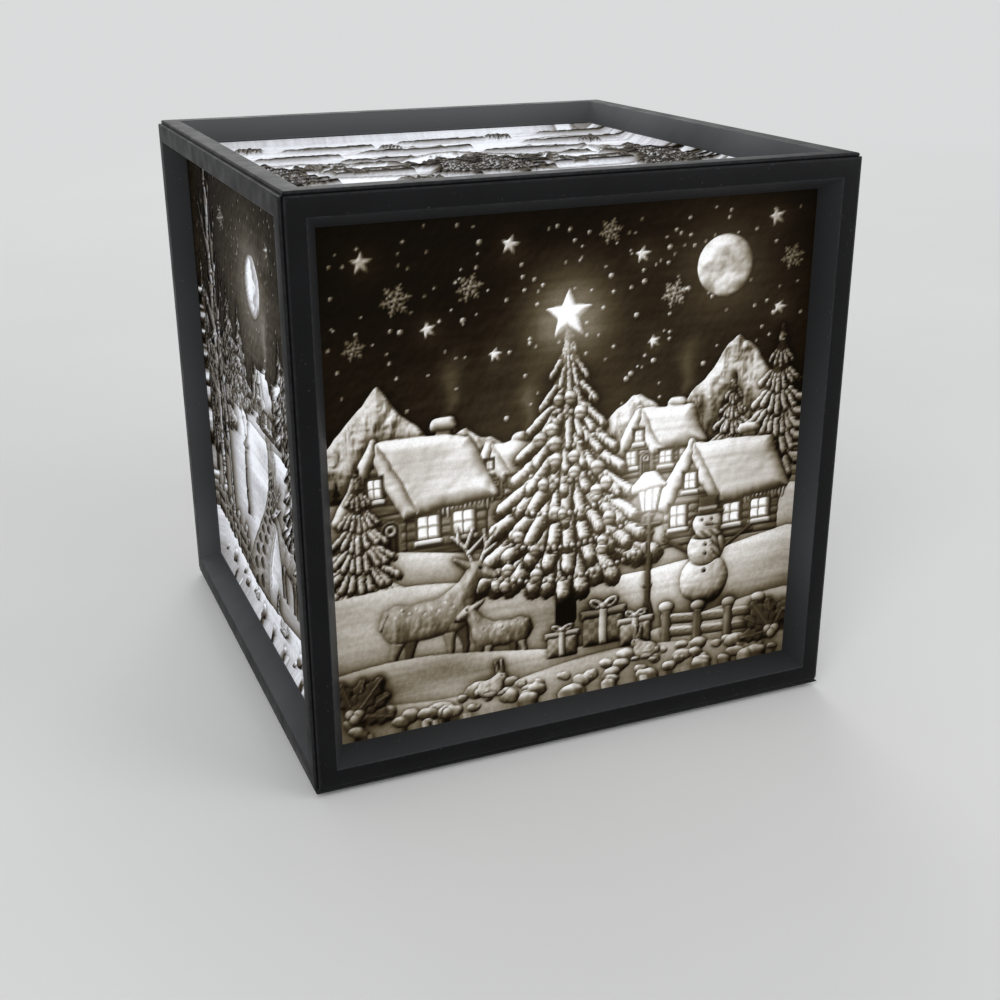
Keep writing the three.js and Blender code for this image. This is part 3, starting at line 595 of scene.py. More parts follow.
def sprig(art, cx, cy, size, turn, level=0.35):
    for k, a in enumerate((-1.1, 1.0, -0.45, 0.4, 0.0)):
        ca, sa = math.cos(turn + a), math.sin(turn + a)
        reach = 0.95 if k < 4 else 1.1
        x, y = reach * ca / 2, reach * sa / 2
        leaf = Patch(art, cx, cy, size, (x - 0.62, y - 0.62, x + 0.62, y + 0.62))
        u, v = (leaf.u * ca + leaf.v * sa) / reach, np.abs(leaf.v * ca - leaf.u * sa) / reach
        spikes = 0.5 + 0.5 * np.cos(u * 7 * math.pi)
        wide = (0.24 - 0.08 * spikes) * np.sqrt(np.clip(4 * u * (1 - u), 0, 1))
        depth = np.where((u > 0) & (u < 1), (wide - v) * reach, -1.0)
        vein = np.clip(1 - v * 40, 0, 1)
        rim = np.clip(1 - depth / 0.03, 0, 1)
        leaf.lay(depth, 0.36 + 0.4 * vein + 0.4 * rim, level + 0.002 * k, 0.014, 0.12, 0.004 * vein)
    for du, dv in ((-0.10, 0.05), (0.10, 0.03), (0.0, -0.09)):
        berry = Patch(art, cx + du * size, cy + dv * size, size * 0.12)
        berry.lay(berry.disc(0, 0, 1), 0.98, level + 0.016, size * 0.108, 1)


def birch(art, cx, foot, tall, r, level, lean):
    tree = Patch(art, cx, foot, 1, (-0.25, -0.02, 0.25, tall))
    for k in range(6):
        v, side = 0.40 + 0.095 * k, 1 if k % 2 else -1
        base = (lean * v, tall * v)
        tip = (base[0] + side * (0.12 - 0.01 * k), base[1] + 0.11)
        half = ((base[0] + tip[0]) / 2, (base[1] + tip[1]) / 2)
        twig = tree.limb(half, (tip[0] - side * 0.03, tip[1] + 0.04), r * 0.2, r * 0.1)
        twig = np.maximum(twig, tree.limb(base, tip, r * 0.36, r * 0.14))
        tree.lay(twig, 0.75, level - 0.004, 0.008, r * 0.3)
    marks = np.clip((np.abs(tree.fractal(12, 90)) - 0.32) * 9, 0, 1)
    trunk = tree.limb((0, -0.02), (lean, tall), r, r * 0.55)
    tree.lay(trunk, 0.95 - 0.75 * marks, level, r * 1.3, r, -0.003 * marks)


def pathway(art, middle, half, high, level, crest=lambda x: 1.0):
    path = Patch(art, 0, 0, 1, (0, 0, 1, high))
    worn = path.fractal(30, 60)
    depth = half(path.y) - np.abs(path.x - middle(path.y)) + 0.006 * worn
    depth = np.minimum(depth, crest(path.x) - path.y - 0.011)
    path.lay(depth + 0.008, 0.97, level + 0.004, 0.006, 0.01)
    path.lay(depth, 0.72 + 0.3 * worn, level - 0.004, -0.004, 0.05, 0.004 * worn)
    foot = 0.0
    for k in range(26):
        foot += 0.03 * (1 - 0.9 * foot / high)
        size, side = 0.34 * half(foot), 1 if k % 2 else -1
        px = middle(foot) + side * 0.35 * half(foot)
        if foot > high - 0.02 or foot + size > crest(px) - 0.01:
            break
        step = Patch(art, px, foot, size)
        step.lay(step.oval(0, 0, 0.42, 0.6), 0.3, level - 0.014, -0.004, 0.4)


def ice(art, shore, level):
    streaks = art.fractal(art.x, art.y, 4, 70, 4)
    cracks = np.clip(art.fractal(art.x, art.y, 7, 12, 3, ridged=True) - 0.72, 0, 1) * 3
    art.lay(shore(art.x) - art.y, 0.42 + 0.35 * streaks + cracks, level, 0.0, 0.01, 0.002 * streaks)


def glitter(art, cx, low, high, spread):
    for k in range(60):
        t = (k + 0.5) / 60
        wide = spread * (1.4 - t) * art.rng.uniform(0.2, 1.0)
        px = cx + art.rng.normal(0, spread * 0.5 * (1.2 - t))
        art.halo(px, low + (high - low) * t, wide, 0.16, squash=0.12)


def jetty(art, x0, x1, deck, level):
    long = x1 - x0
    dock = Patch(art, x0, deck, 1, (-0.02, -0.06, long + 0.02, 0.05))
    for u in np.linspace(0.01, long - 0.01, 5):
        dock.lay(dock.limb((u, -0.045), (u, 0.026), 0.0065, 0.0055), 0.3, level, 0.008, 0.006)
        dock.lay(dock.oval(u, 0.03, 0.009, 0.006), 1.0, level + 0.006, 0.006, 0.006)
    ends = np.abs(dock.u / 0.014 % 1 - 0.5) * 2
    boards = 0.55 + 0.3 * dock.fractal(14, 120, 2) - 0.35 * np.clip(1 - ends * 4, 0, 1)
    dock.lay(dock.slab(0, -0.009, long, 0.006), boards, level + 0.008, 0.006, 0.006)
    dock.lay(dock.slab(0, 0.004, long, 0.013), 1.0, level + 0.012, 0.006, 0.005)


def balloon(art, cx, cy, size):
    patch = Patch(art, cx, cy, size, (-0.55, -1.05, 0.55, 0.55))
    for u in (-0.12, 0.0, 0.12):
        patch.lay(patch.limb((u * 1.6, -0.45), (u, -0.86), 0.008, 0.008), 0.6, 0.012, 0.002, 0.01 / size)
    bag = merged(patch.disc(0, 0, 0.5), patch.limb((0, -0.2), (0, -0.55), 0.3, 0.13), 0.2)
    flare = np.sqrt(np.maximum(0.26 - patch.v**2, 0.0256))
    ribs = np.sin(4 * np.arcsin(np.clip(patch.u / flare, -1, 1)))
    stripe = np.where(ribs * np.sign(np.sin(patch.v * 5 + 0.9)) > 0, 0.95, 0.42)
    patch.lay(bag, stripe, 0.014, 0.12 * size, 0.4, 0.03 * size * np.abs(ribs))
    weave = 0.45 + 0.25 * np.sin(patch.u * 130) * np.sin(patch.v * 130)
    patch.lay(patch.slab(-0.11, -1.03, 0.11, -0.84), weave, 0.016, 0.05 * size, 0.08)
    art.halo(*patch.at(0, -0.5), 0.25 * size, 0.25)


# The five pictures
def wave(base, swing, rate, phase=0.0, curve=np.sin):
    """The crest of a snow bank: its height at x."""
    return lambda x: base + swing * curve(rate * x + phase)


def starry_sky(art, top, low, count, floor, stars, flakes):
    night_sky(art, top, low)
    dots(art, count, floor)
    for k, (x, y, r) in enumerate(stars):
        star(art, x, y, r, 0.25 * math.sin(2.1 * k))
    for x, y, r in flakes:
        snowflake(art, x, y, r)


def firs(art, trees, wide, level):
    for cx, foot, tall in trees:
        fir(art, cx, foot, tall, tall * wide, level)


def village(art):
    stars = ((0.08, 0.93, 0.022), (0.2, 0.80, 0.017), (0.36, 0.94, 0.02), (0.63, 0.90, 0.018),
             (0.92, 0.95, 0.02), (0.94, 0.77, 0.016), (0.33, 0.74, 0.015), (0.66, 0.73, 0.015))
    flakes = ((0.14, 0.86, 0.03), (0.28, 0.87, 0.026), (0.7, 0.82, 0.028),
              (0.56, 0.95, 0.024), (0.96, 0.87, 0.026), (0.06, 0.78, 0.022))
    starry_sky(art, 0.10, 0.32, 230, 0.5, stars, flakes)
    moon(art, 0.81, 0.865, 0.06)
    peaks(art, 0.46, ((0.10, 0.70, 0.22), (0.27, 0.62, 0.2), (0.62, 0.64, 0.22), (0.85, 0.72, 0.24)))
    treeline(art, lambda x: 0.46, count=30)
    drift(art, wave(0.475, 0.02, 5, 1), 0.85, 0.04)
    cottage(art, 0.60, 0.455, 0.17, 0.13, 0.055)
    cottage(art, 0.29, 0.46, 0.13, 0.10, 0.052)
    drift(art, wave(0.445, 0.03, 4.2, 2.6), 0.9, 0.065)
    fir(art, 0.95, 0.38, 0.36, 0.095, 0.08)
    fir(art, 0.845, 0.40, 0.25, 0.065, 0.085)
    cottage(art, 0.03, 0.36, 0.28, 0.23, 0.09)
    drift(art, wave(0.36, 0.035, 5.5, 0.3, np.cos), 0.93, 0.11)
    cottage(art, 0.70, 0.29, 0.27, 0.21, 0.13)
    fir(art, 0.055, 0.24, 0.32, 0.085, 0.15)
    drift(art, wave(0.275, 0.03, 6.0, -0.6, np.cos), 0.95, 0.17)
    art.halo(0.48, 0.50, 0.22, 0.25)
    art.halo(0.48, 0.185, 0.12, -0.35, squash=0.3)
    decked_fir(art, 0.48, 0.185, 0.60, 0.18, 0.19)
    lantern(art, 0.665, 0.15, 0.31, 0.2)
    art.halo(0.82, 0.15, 0.07, -0.35, squash=0.3)
    snowman(art, 0.80, 0.155, 0.22, 0.2)
    art.halo(0.2, 0.11, 0.12, -0.3, squash=0.25)
    deer(art, 0.185, 0.10, 0.27, 0.2)
    deer(art, 0.34, 0.085, 0.18, 0.22, flip=-1, antlers=(), tint=0.74)
    drift(art, wave(0.125, 0.025, 7.0, -0.9, np.cos), 0.93, 0.235, 0.02, 0.07)
    art.halo(0.56, 0.09, 0.1, -0.3, squash=0.25)
    gift(art, 0.52, 0.10, 0.09, 0.08, 0.25, 0.55)
    gift(art, 0.605, 0.085, 0.07, 0.06, 0.26, 0.75)
    gift(art, 0.44, 0.09, 0.065, 0.055, 0.26, 0.68)
    fence(art, 0.70, 0.945, wave(0.075, 0.03, 5), 0.25)
    drift(art, wave(0.062, 0.018, 9.0, 0.9, np.cos), 0.88, 0.27, 0.02, 0.05)
    stones(art, 80, 0.06, 0.28)
    hare(art, 0.66, 0.045, 0.062, flip=-1)
    hare(art, 0.32, 0.03, 0.062)
    sprig(art, 0.03, 0.05, 0.085, 0.9)
    sprig(art, 0.975, 0.05, 0.085, 2.2)


def woodland(art):
    stars = ((0.15, 0.93, 0.02), (0.7, 0.9, 0.018), (0.88, 0.95, 0.02))
    starry_sky(art, 0.14, 0.45, 240, 0.42, stars, ((0.3, 0.9, 0.03), (0.85, 0.82, 0.03)))
    moon(art, 0.55, 0.80, 0.065)
    peaks(art, 0.5, ((0.3, 0.66, 0.3), (0.8, 0.70, 0.3)), rock=0.45)
    treeline(art, lambda x: 0.50, low=0.1, high=0.17)
    drift(art, wave(0.52, 0.015, 6), 0.9, 0.04)
    cottage(art, 0.50, 0.50, 0.16, 0.12, 0.05)
    firs(art, ((0.40, 0.48, 0.26), (0.76, 0.47, 0.28), (0.30, 0.45, 0.32), (0.88, 0.44, 0.34)), 0.26, 0.07)
    drift(art, lambda x: 0.47 + 0.05 * (2 * x - 1) ** 2, 1.0, 0.08)
    bend = lambda y: 0.56 - 0.16 * np.sin(9.5 * y + 0.3) * (1 - 1.6 * y)
    pathway(art, bend, lambda y: 0.012 + 0.11 * np.clip(0.5 - y, 0, 1) ** 1.2 * 2, 0.49, 0.1)
    firs(art, ((0.16, 0.36, 0.42), (0.93, 0.33, 0.40), (0.03, 0.26, 0.52), (0.80, 0.26, 0.36)), 0.27, 0.14)
    lantern(art, 0.36, 0.25, 0.24, 0.17)
    deer(art, 0.72, 0.16, 0.22, 0.19, flip=-1)
    deer(art, 0.85, 0.13, 0.17, 0.2, flip=-1, antlers=(), tint=0.74)
    birch(art, 0.10, 0.06, 0.93, 0.026, 0.24, 0.05)
    birch(art, 0.20, 0.10, 0.80, 0.018, 0.22, -0.03)
    fence(art, 0.0, 0.34, lambda x: 0.12 - 0.1 * x, 0.25)
    drift(art, wave(0.10, 0.025, 6, 2), 1.0, 0.26)
    stones(art, 22, 0.05, 0.29)
    hare(art, 0.62, 0.05, 0.07, flip=-1)
    sprig(art, 0.96, 0.05, 0.09, 2.2)


def frozen_lake(art):
    stars = ((0.1, 0.95, 0.02), (0.55, 0.93, 0.018), (0.8, 0.9, 0.02))
    starry_sky(art, 0.12, 0.42, 220, 0.55, stars, ((0.68, 0.84, 0.03), (0.92, 0.8, 0.026)))
    moon(art, 0.33, 0.83, 0.075)
    peaks(art, 0.48, ((0.05, 0.72, 0.2), (0.5, 0.70, 0.26), (0.75, 0.78, 0.3), (1.0, 0.68, 0.2)))
    treeline(art, lambda x: 0.47)
    ice(art, wave(0.47, 0.008, 9), 0.03)
    glitter(art, 0.33, 0.2, 0.46, 0.05)
    jetty(art, 0.37, 0.56, 0.352, 0.045)
    drift(art, lambda x: 0.40 + 0.12 * np.clip(x - 0.45, 0, 1) - 0.5 * np.clip(0.62 - x, 0, 1), 0.93, 0.06)
    cottage(art, 0.68, 0.40, 0.26, 0.19, 0.08)
    fir(art, 0.62, 0.38, 0.28, 0.07, 0.1)
    fir(art, 0.96, 0.36, 0.34, 0.085, 0.11)
    drift(art, lambda x: 0.24 - 0.16 * np.sin(3.0 * x + 0.4) + 0.1 * x, 0.95, 0.15)
    fir(art, 0.10, 0.10, 0.56, 0.15, 0.18, tiers=9)
    fir(art, 0.27, 0.08, 0.34, 0.095, 0.2)
    lantern(art, 0.62, 0.14, 0.26, 0.2)
    deer(art, 0.80, 0.13, 0.25, 0.2, flip=-1)
    birch(art, 0.94, 0.05, 0.90, 0.024, 0.24, -0.04)
    stones(art, 70, 0.07, 0.26)
    hare(art, 0.45, 0.05, 0.07)
    hare(art, 0.54, 0.045, 0.06, flip=-1)
    sprig(art, 0.03, 0.04, 0.085, 0.9)


def hillside(art):
    stars = ((0.06, 0.9, 0.02), (0.48, 0.95, 0.02), (0.9, 0.72, 0.018))
    starry_sky(art, 0.12, 0.4, 220, 0.5, stars, ((0.36, 0.8, 0.03), (0.93, 0.93, 0.03)))
    for cx, cy, size in ((0.22, 0.83, 0.17), (0.72, 0.84, 0.22), (0.50, 0.72, 0.11)):
        balloon(art, cx, cy, size)
    peaks(art, 0.46, ((0.2, 0.66, 0.24), (0.45, 0.60, 0.2), (0.85, 0.66, 0.26)))
    treeline(art, wave(0.46, 0.03, 7))
    drift(art, wave(0.48, 0.03, 7), 0.9, 0.04)
    cottage(art, 0.08, 0.47, 0.15, 0.11, 0.06)
    cottage(art, 0.42, 0.44, 0.17, 0.125, 0.06)
    cottage(art, 0.80, 0.45, 0.15, 0.11, 0.06)
    drift(art, wave(0.40, 0.05, 6, -2, np.cos), 0.93, 0.08)
    fir(art, 0.32, 0.36, 0.28, 0.072, 0.1)
    fir(art, 0.66, 0.38, 0.26, 0.066, 0.1)
    cottage(art, 0.66, 0.27, 0.28, 0.21, 0.12)
    cottage(art, 0.04, 0.29, 0.25, 0.19, 0.12)
    crest = wave(0.27, 0.04, 7, 1, np.cos)
    drift(art, crest, 0.95, 0.16)
    bend = lambda y: 0.47 + 0.1 * np.sin(16 * y)
    pathway(art, bend, lambda y: 0.014 + 0.2 * np.clip(0.3 - y, 0, 1), 0.3, 0.18, crest)
    fir(art, 0.93, 0.15, 0.36, 0.10, 0.2)
    fir(art, 0.30, 0.17, 0.34, 0.092, 0.2)
    snowman(art, 0.74, 0.12, 0.2, 0.22)
    lantern(art, 0.60, 0.14, 0.26, 0.22)
    deer(art, 0.15, 0.09, 0.25, 0.22)
    fence(art, 0.72, 1.0, wave(0.05, 0.02, 6), 0.26)
    stones(art, 70, 0.06, 0.28)
    hare(art, 0.36, 0.05, 0.068)
    sprig(art, 0.03, 0.04, 0.085, 0.9)


def cloudy_hills(art):
    night_sky(art, 1.0, 0.92, 0.0005)
    for k in range(9):
        cx, cy = 0.12 * k + art.rng.uniform(-0.05, 0.05), 0.62 + 0.34 * ((k * 0.37) % 1)
        cloud(art, cx, cy, art.rng.uniform(0.1, 0.18))
    for x, y, r in ((0.1, 0.9, 0.035), (0.42, 0.84, 0.03), (0.72, 0.92, 0.035), (0.9, 0.78, 0.03)):
        snowflake(art, x, y, r, 0.35)
    peaks(art, 0.5, ((0.15, 0.66, 0.26), (0.5, 0.72, 0.3), (0.85, 0.68, 0.26)), 0.02, rock=0.35)
    treeline(art, lambda x: 0.49, 0.03, 36)
    drift(art, wave(0.50, 0.03, 6, 1), 0.97, 0.05)
    cottage(art, 0.18, 0.47, 0.17, 0.12, 0.07)
    cottage(art, 0.66, 0.45, 0.19, 0.13, 0.07)
    drift(art, wave(0.42, 0.04, 5, 0, np.cos), 1.0, 0.09)
    firs(art, ((0.07, 0.34, 0.3), (0.45, 0.37, 0.24), (0.55, 0.36, 0.28), (0.93, 0.33, 0.32)), 0.27, 0.12)
    crest = wave(0.30, 0.05, 5, 2)
    drift(art, crest, 1.0, 0.16)
    bend = lambda y: 0.5 + 0.12 * np.sin(13 * y)
    pathway(art, bend, lambda y: 0.014 + 0.2 * np.clip(0.3 - y, 0, 1), 0.29, 0.18, crest)
    deer(art, 0.24, 0.12, 0.24, 0.2)
    fir(art, 0.86, 0.10, 0.34, 0.095, 0.22)
    fir(art, 0.03, 0.06, 0.36, 0.10, 0.22)
    fence(art, 0.62, 1.0, wave(0.05, 0.02, 6), 0.25)
    stones(art, 90, 0.07, 0.27)
    hare(art, 0.55, 0.05, 0.07)


# Node trees
class Nodes:
    """A node tree being built; an input is a number, a colour or another node's output."""

    def __init__(self, owner):
        owner.use_nodes = True
        self.tree = owner.node_tree

    def put(self, socket, value):
        if isinstance(value, bpy.types.NodeSocket):
            self.tree.links.new(value, socket)
        elif socket.type == "RGBA":
            socket.default_value = (*value, 1)
        else:
            socket.default_value = value

    def add(self, kind, inputs=(), out=0, **settings):
        made = self.tree.nodes.new("ShaderNode" + kind)
        for name, value in settings.items():
            setattr(made, name, value)
        for key, value in dict(inputs).items():
            self.put(made.inputs[key], value)
        return made.outputs[out]

    def place(self):
        return self.add("TexCoord", out="Object")

    def noise(self, scale, detail, rough=0.5):
        inputs = {"Vector": self.place(), "Scale": scale, "Detail": detail, "Roughness": rough}
        return self.add("TexNoise", inputs)

    def spread(self, value, low, high, to_low, to_high):
        return self.add("MapRange", enumerate((value, low, high, to_low, to_high)))

    def uneven(self, scale, detail, low, high):
        return self.spread(self.noise(scale, detail), 0.3, 0.7, low, high)

    def ramp(self, value, stops, kind="LINEAR"):
        out = self.add("ValToRGB", {"Fac": value})
        out.node.color_ramp.interpolation = kind
        marks = out.node.color_ramp.elements
        marks[0].position, marks[1].position = stops[0][0], stops[-1][0]
        for at, _ in stops[1:-1]:
            marks.new(at)
        for mark, (_, colour) in zip(marks, stops):
            mark.color = (*colour, 1)
        return out

    def mottle(self, scale, detail, dark, light, rough=0.5):
        return self.ramp(self.noise(scale, detail, rough), ((0.3, dark), (0.7, light)))

    def mixed(self, factor, a, b, blend="MIX"):
        return self.add("Mix", {0: factor, 6: a, 7: b}, 2, data_type="RGBA", blend_type=blend)

    def times(self, a, b):
        return self.mixed(1.0, a, b, "MULTIPLY")

    def attribute(self, name, out="Fac"):
        return self.add("Attribute", out=out, attribute_name=name)

    def math(self, operation, *values):
        return self.add("Math", enumerate(values), operation=operation)

    def vector(self, operation, *values, out=0):
        return self.add("VectorMath", enumerate(values), out, operation=operation)

    def seen_or_mirrored(self):
        """One for rays from the camera, off gloss or through glass, which all meet the pale background."""
        ray = self.add("LightPath").node.outputs
        both = self.math("MAXIMUM", ray["Is Camera Ray"], ray["Is Glossy Ray"])
        return self.math("MAXIMUM", both, ray["Is Transmission Ray"])


SPECULAR, GLOW, POWER = "Specular IOR Level", "Emission Color", "Emission Strength"


class Finish(Nodes):
    """A material with one Principled shader."""

    def __init__(self, name):
        self.material = bpy.data.materials.new(name)
        super().__init__(self.material)
        self.shader = self.tree.nodes["Principled BSDF"]

    def surface(self, colour, gloss, bump, others):
        """Colour, gloss (scale, detail, lowest, highest), bump (height, strength, depth), other inputs."""
        height, strength, depth = bump
        normal = self.add("Bump", {"Height": height, "Strength": strength, "Distance": depth})
        inputs = {"Base Color": colour, "Roughness": self.uneven(*gloss), "Normal": normal, **others}
        for name, value in inputs.items():
            self.put(self.shader.inputs[name], value)
        return self.material


# Materials
def moulded(name, dark, light, low, high, specular=0.5, grain=0.08):
    """Moulded plastic or rubber: mottled colour, uneven gloss and fine grain."""
    made = Finish(name)
    bump = (made.noise(2600, 3), grain, 0.2 * MM)
    colour = made.mottle(90, 5, dark, light, 0.6)
    return made.surface(colour, (220, 4, low, high), bump, {SPECULAR: specular})


def metal(name, dark, light, low, high):
    made = Finish(name)
    bump = (made.noise(1200, 2), 0.03, 0.05 * MM)
    return made.surface(made.mottle(400, 4, dark, light), (800, 4, low, high), bump, {"Metallic": 1.0})


def printed_black():
    """Black printed plastic: layer lines from the print, a little dust and paler rounded edges, partly wear
    and partly a painted highlight.
    """
    made = Finish("printed_black")
    colour = made.mottle(70, 5, (0.0030, 0.0031, 0.0035), (0.0050, 0.0052, 0.0058), 0.6)
    # Paler rounded edges, uneven along their length: partly wear, partly a painted highlight
    patchy = made.spread(made.noise(900, 4), 0.35, 0.65, 0.3, 0.9)
    worn = made.math("MULTIPLY", made.attribute("wear_and_highlight"), patchy)
    colour = made.mixed(worn, colour, (0.020, 0.0205, 0.022))
    dust = made.spread(made.noise(1500, 2, 0.4), 0.72, 0.78, 0.0, 0.5)
    colour = made.mixed(dust, colour, (0.05, 0.05, 0.052))
    layers = made.math("SINE", made.attribute("layer"))
    height = made.math("MULTIPLY_ADD", layers, 0.3, made.noise(2400, 3))
    # Painted glow on the reveals, standing for the pictures' light falling on them
    spill = made.times(made.attribute("spill"), (0.93, 0.96, 1.0))
    others = {SPECULAR: 0.10, GLOW: spill, POWER: 1.0}
    return made.surface(colour, (160, 5, 0.40, 0.56), (height, 0.12, 0.2 * MM), others)


def lit_picture():
    """A thin white print with light behind it: thick parts stay dark, thin parts shine."""
    made = Finish("lit_picture")
    grain = made.spread(made.noise(2200, 2), 0.25, 0.75, 0.9, 1.1)
    picture = made.times(made.attribute("picture", "Color"), grain)
    bump = (made.noise(3000, 2), 0.1, 0.1 * MM)
    others = {SPECULAR: 0.02, GLOW: picture, POWER: 0.78}
    return made.surface(made.times(picture, (0.3, 0.3, 0.3)), (700, 3, 0.5, 0.68), bump, others)


def glowing_chip():
    made = Finish("light_chip")
    tone = made.mottle(160, 3, (0.98, 0.85, 0.6), (1.0, 0.93, 0.8))
    bump = (made.noise(2500, 2), 0.05, 0.1 * MM)
    return made.surface(tone, (500, 3, 0.3, 0.45), bump, {GLOW: tone, POWER: 1.0})


def banded_wrap():
    """Shrink wrap of a cell: graphite with a pale band and a thin line near the positive end."""
    made = Finish("banded_wrap")
    graphite, pale, line = (0.022, 0.026, 0.032), (0.42, 0.44, 0.46), (0.30, 0.12, 0.02)
    stops = ((0.0, graphite), (0.64, line), (0.66, pale), (0.97, graphite))
    bands = made.ramp(made.attribute("along"), stops, "CONSTANT")
    colour = made.times(bands, made.uneven(300, 4, 0.85, 1.1))
    return made.surface(colour, (500, 3, 0.22, 0.34), (made.noise(700, 3), 0.06, 0.2 * MM), {})


def opal_over_chips():
    """Opal plastic lit from behind, brightest over each light chip."""
    made = Finish("opal_over_chips")
    axes = made.add("SeparateXYZ", {0: made.place()}).node.outputs
    waves = [made.math("COSINE", made.math("MULTIPLY", axes[k], 2 * math.pi / CHIP_PITCH)) for k in (0, 1)]
    away = made.vector("LENGTH", made.vector("MULTIPLY", made.place(), (1, 1, 0)), out="Value")
    reach = made.spread(away, 0.4 * CHIP_PITCH, 2.1 * CHIP_PITCH, 1.0, 0.0)
    spots = made.math("MULTIPLY_ADD", made.math("ADD", *waves), 0.06, 0.3)
    soft = made.math("MULTIPLY_ADD", reach, 0.55, spots)
    tone = made.ramp(soft, ((0.1, (0.58, 0.57, 0.55)), (0.95, (1.0, 0.99, 0.96))))
    colour = made.mottle(240, 3, (0.30, 0.30, 0.31), (0.36, 0.36, 0.37))
    others = {GLOW: made.times(tone, made.uneven(240, 3, 0.95, 1.05)), POWER: 0.68}
    return made.surface(colour, (500, 3, 0.3, 0.45), (made.noise(2500, 2), 0.05, 0.1 * MM), others)


MATERIALS = {
    "frame_black": printed_black(),
    "lithophane": lit_picture(),
    "foot_rubber": moulded("foot_rubber", (0.03, 0.03, 0.031), (0.045, 0.045, 0.046), 0.7, 0.85, 0.3, 0.25),
    "cell_wrap": banded_wrap(),
    "contact_metal": metal("contact_metal", (0.62, 0.61, 0.58), (0.75, 0.74, 0.71), 0.2, 0.35),
    "standoff_brass": metal("standoff_brass", (0.62, 0.42, 0.16), (0.75, 0.53, 0.22), 0.25, 0.4),
    "screw_steel": metal("screw_steel", (0.5, 0.5, 0.5), (0.65, 0.65, 0.64), 0.25, 0.4),
    "board_white": moulded("board_white", (0.72, 0.72, 0.7), (0.8, 0.8, 0.78), 0.35, 0.5),
    "light_chip": glowing_chip(),
    "diffuser_opal": opal_over_chips(),
    "inner_black": moulded("inner_black", (0.012, 0.012, 0.013), (0.02, 0.02, 0.021), 0.4, 0.55, 0.4, 0.1),
    "knob_white": moulded("knob_white", (0.62, 0.62, 0.6), (0.7, 0.7, 0.68), 0.35, 0.5),
    "lead_red": moulded("lead_red", (0.35, 0.02, 0.02), (0.45, 0.03, 0.025), 0.35, 0.5),
    "lead_black": moulded("lead_black", (0.015, 0.015, 0.016), (0.025, 0.025, 0.026), 0.35, 0.5),
}


# Studio: pale floor, soft lamps and even light all round
BACKGROUND = (0.70, 0.705, 0.71)
EVEN_LIGHT, EVEN_STRENGTH = (0.97, 0.98, 1.0), 0.5
FLOOR_DARK, FLOOR_PALE = (0.70, 0.70, 0.695), (0.74, 0.74, 0.735)
FLOOR_REACH, FLOOR_CORNERS = 14.0, 96
FADE_START, FADE_END = 0.35, 1.1
UNDER_GAP = 0.006
LAMP_AIM, LAMP_SIZE = Vector((0, 0, 0.06)), 1.0
LAMPS = {
    "key": ((-0.75, -1.05, 0.95), 11.0),
    "fill": ((0.95, -0.95, 0.55), 6.0),
    "rear": ((0.3, 1.15, 0.9), 6.0),
}


def studio_paper():
    """Pale floor that fades into the background far away, clear from below and just under the part."""
    made = Finish("studio_paper")
    tone = made.ramp(made.noise(6, 3), ((0.2, FLOOR_DARK), (0.8, FLOOR_PALE)))
    for name, value in (("Base Color", tone), ("Roughness", 0.9), (SPECULAR, 0.1)):
        made.put(made.shader.inputs[name], value)
    away = made.vector("LENGTH", made.place(), out="Value")
    faded = made.spread(away, FADE_START, FADE_END, 0.0, 1.0)
    seen = made.math("MULTIPLY", faded, made.seen_or_mirrored())
    glow = made.add("Emission", {"Color": BACKGROUND, "Strength": 1.0})
    far = made.add("MixShader", {0: seen, 1: made.shader.outputs[0], 2: glow})
    near = made.math("LESS_THAN", made.add("LightPath", out="Ray Length"), UNDER_GAP)
    open_here = made.math("MAXIMUM", near, made.add("NewGeometry", out="Backfacing"))
    both = made.add("MixShader", {0: open_here, 1: far, 2: made.add("BsdfTransparent")})
    made.put(made.tree.nodes["Material Output"].inputs["Surface"], both)
    return made.material


def add_floor():
    turns = [2 * math.pi * k / FLOOR_CORNERS for k in range(FLOOR_CORNERS)]
    rim = [(FLOOR_REACH * math.cos(t), FLOOR_REACH * math.sin(t), 0) for t in turns]
    mesh = bpy.data.meshes.new("floor")
    mesh.from_pydata(rim, [], [tuple(range(FLOOR_CORNERS))])
    mesh.materials.append(studio_paper())
    shown("floor", mesh)


def add_light():
    SCENE.world = bpy.data.worlds.new("studio")
    made = Nodes(SCENE.world)
    even = made.tree.nodes["Background"]
    made.put(even.inputs["Color"], EVEN_LIGHT)
    made.put(even.inputs["Strength"], EVEN_STRENGTH)
    pale = made.add("Background", {"Color": BACKGROUND, "Strength": 1.0})
    both = made.add("MixShader", {0: made.seen_or_mirrored(), 1: even.outputs[0], 2: pale})
    made.put(made.tree.nodes["World Output"].inputs["Surface"], both)
    for name, (where, power) in LAMPS.items():
        data = bpy.data.lights.new(name, "AREA")
        data.shape, data.size, data.energy = "DISK", LAMP_SIZE, power
        lamp = shown(name, data)
        lamp.location = where
        lamp.rotation_euler = (LAMP_AIM - Vector(where)).to_track_quat("-Z", "Y").to_euler()


# Meshes and pieces; faces that meet at less than these angles in degrees shade as one
FRAME_SMOOTH, PANEL_SMOOTH, FINISHED_SMOOTH, TURNED_SMOOTH, BLOCK_SMOOTH = 32, 80, 35, 38, 40


def smoothed(mesh, angle):
    mesh.polygons.foreach_set("use_smooth", [True] * len(mesh.polygons))
    mesh.set_sharp_from_angle(angle=math.radians(angle))
    mesh.update()
    return mesh


def from_points(name, places, faces):
    mesh = bpy.data.meshes.new(name)
    mesh.from_pydata(places, [], faces)
    mesh.update()
    return mesh


def from_shape(name, shape):
    mesh = bpy.data.meshes.new(name)
    shape.to_mesh(mesh)
    shape.free()
    return mesh


def note(mesh, name, values, domain="POINT"):
    mesh.attributes.new(name, "FLOAT", domain).data.foreach_set("value", values)


def piece(mesh, body, slot, *replaced):
    """The mesh as a piece of the same name, in its slot's material, that rides on a body."""
    made = shown(mesh.name, mesh)
    mesh.materials.append(MATERIALS[slot])
    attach(made, body)
    if replaced:
        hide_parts(*replaced)


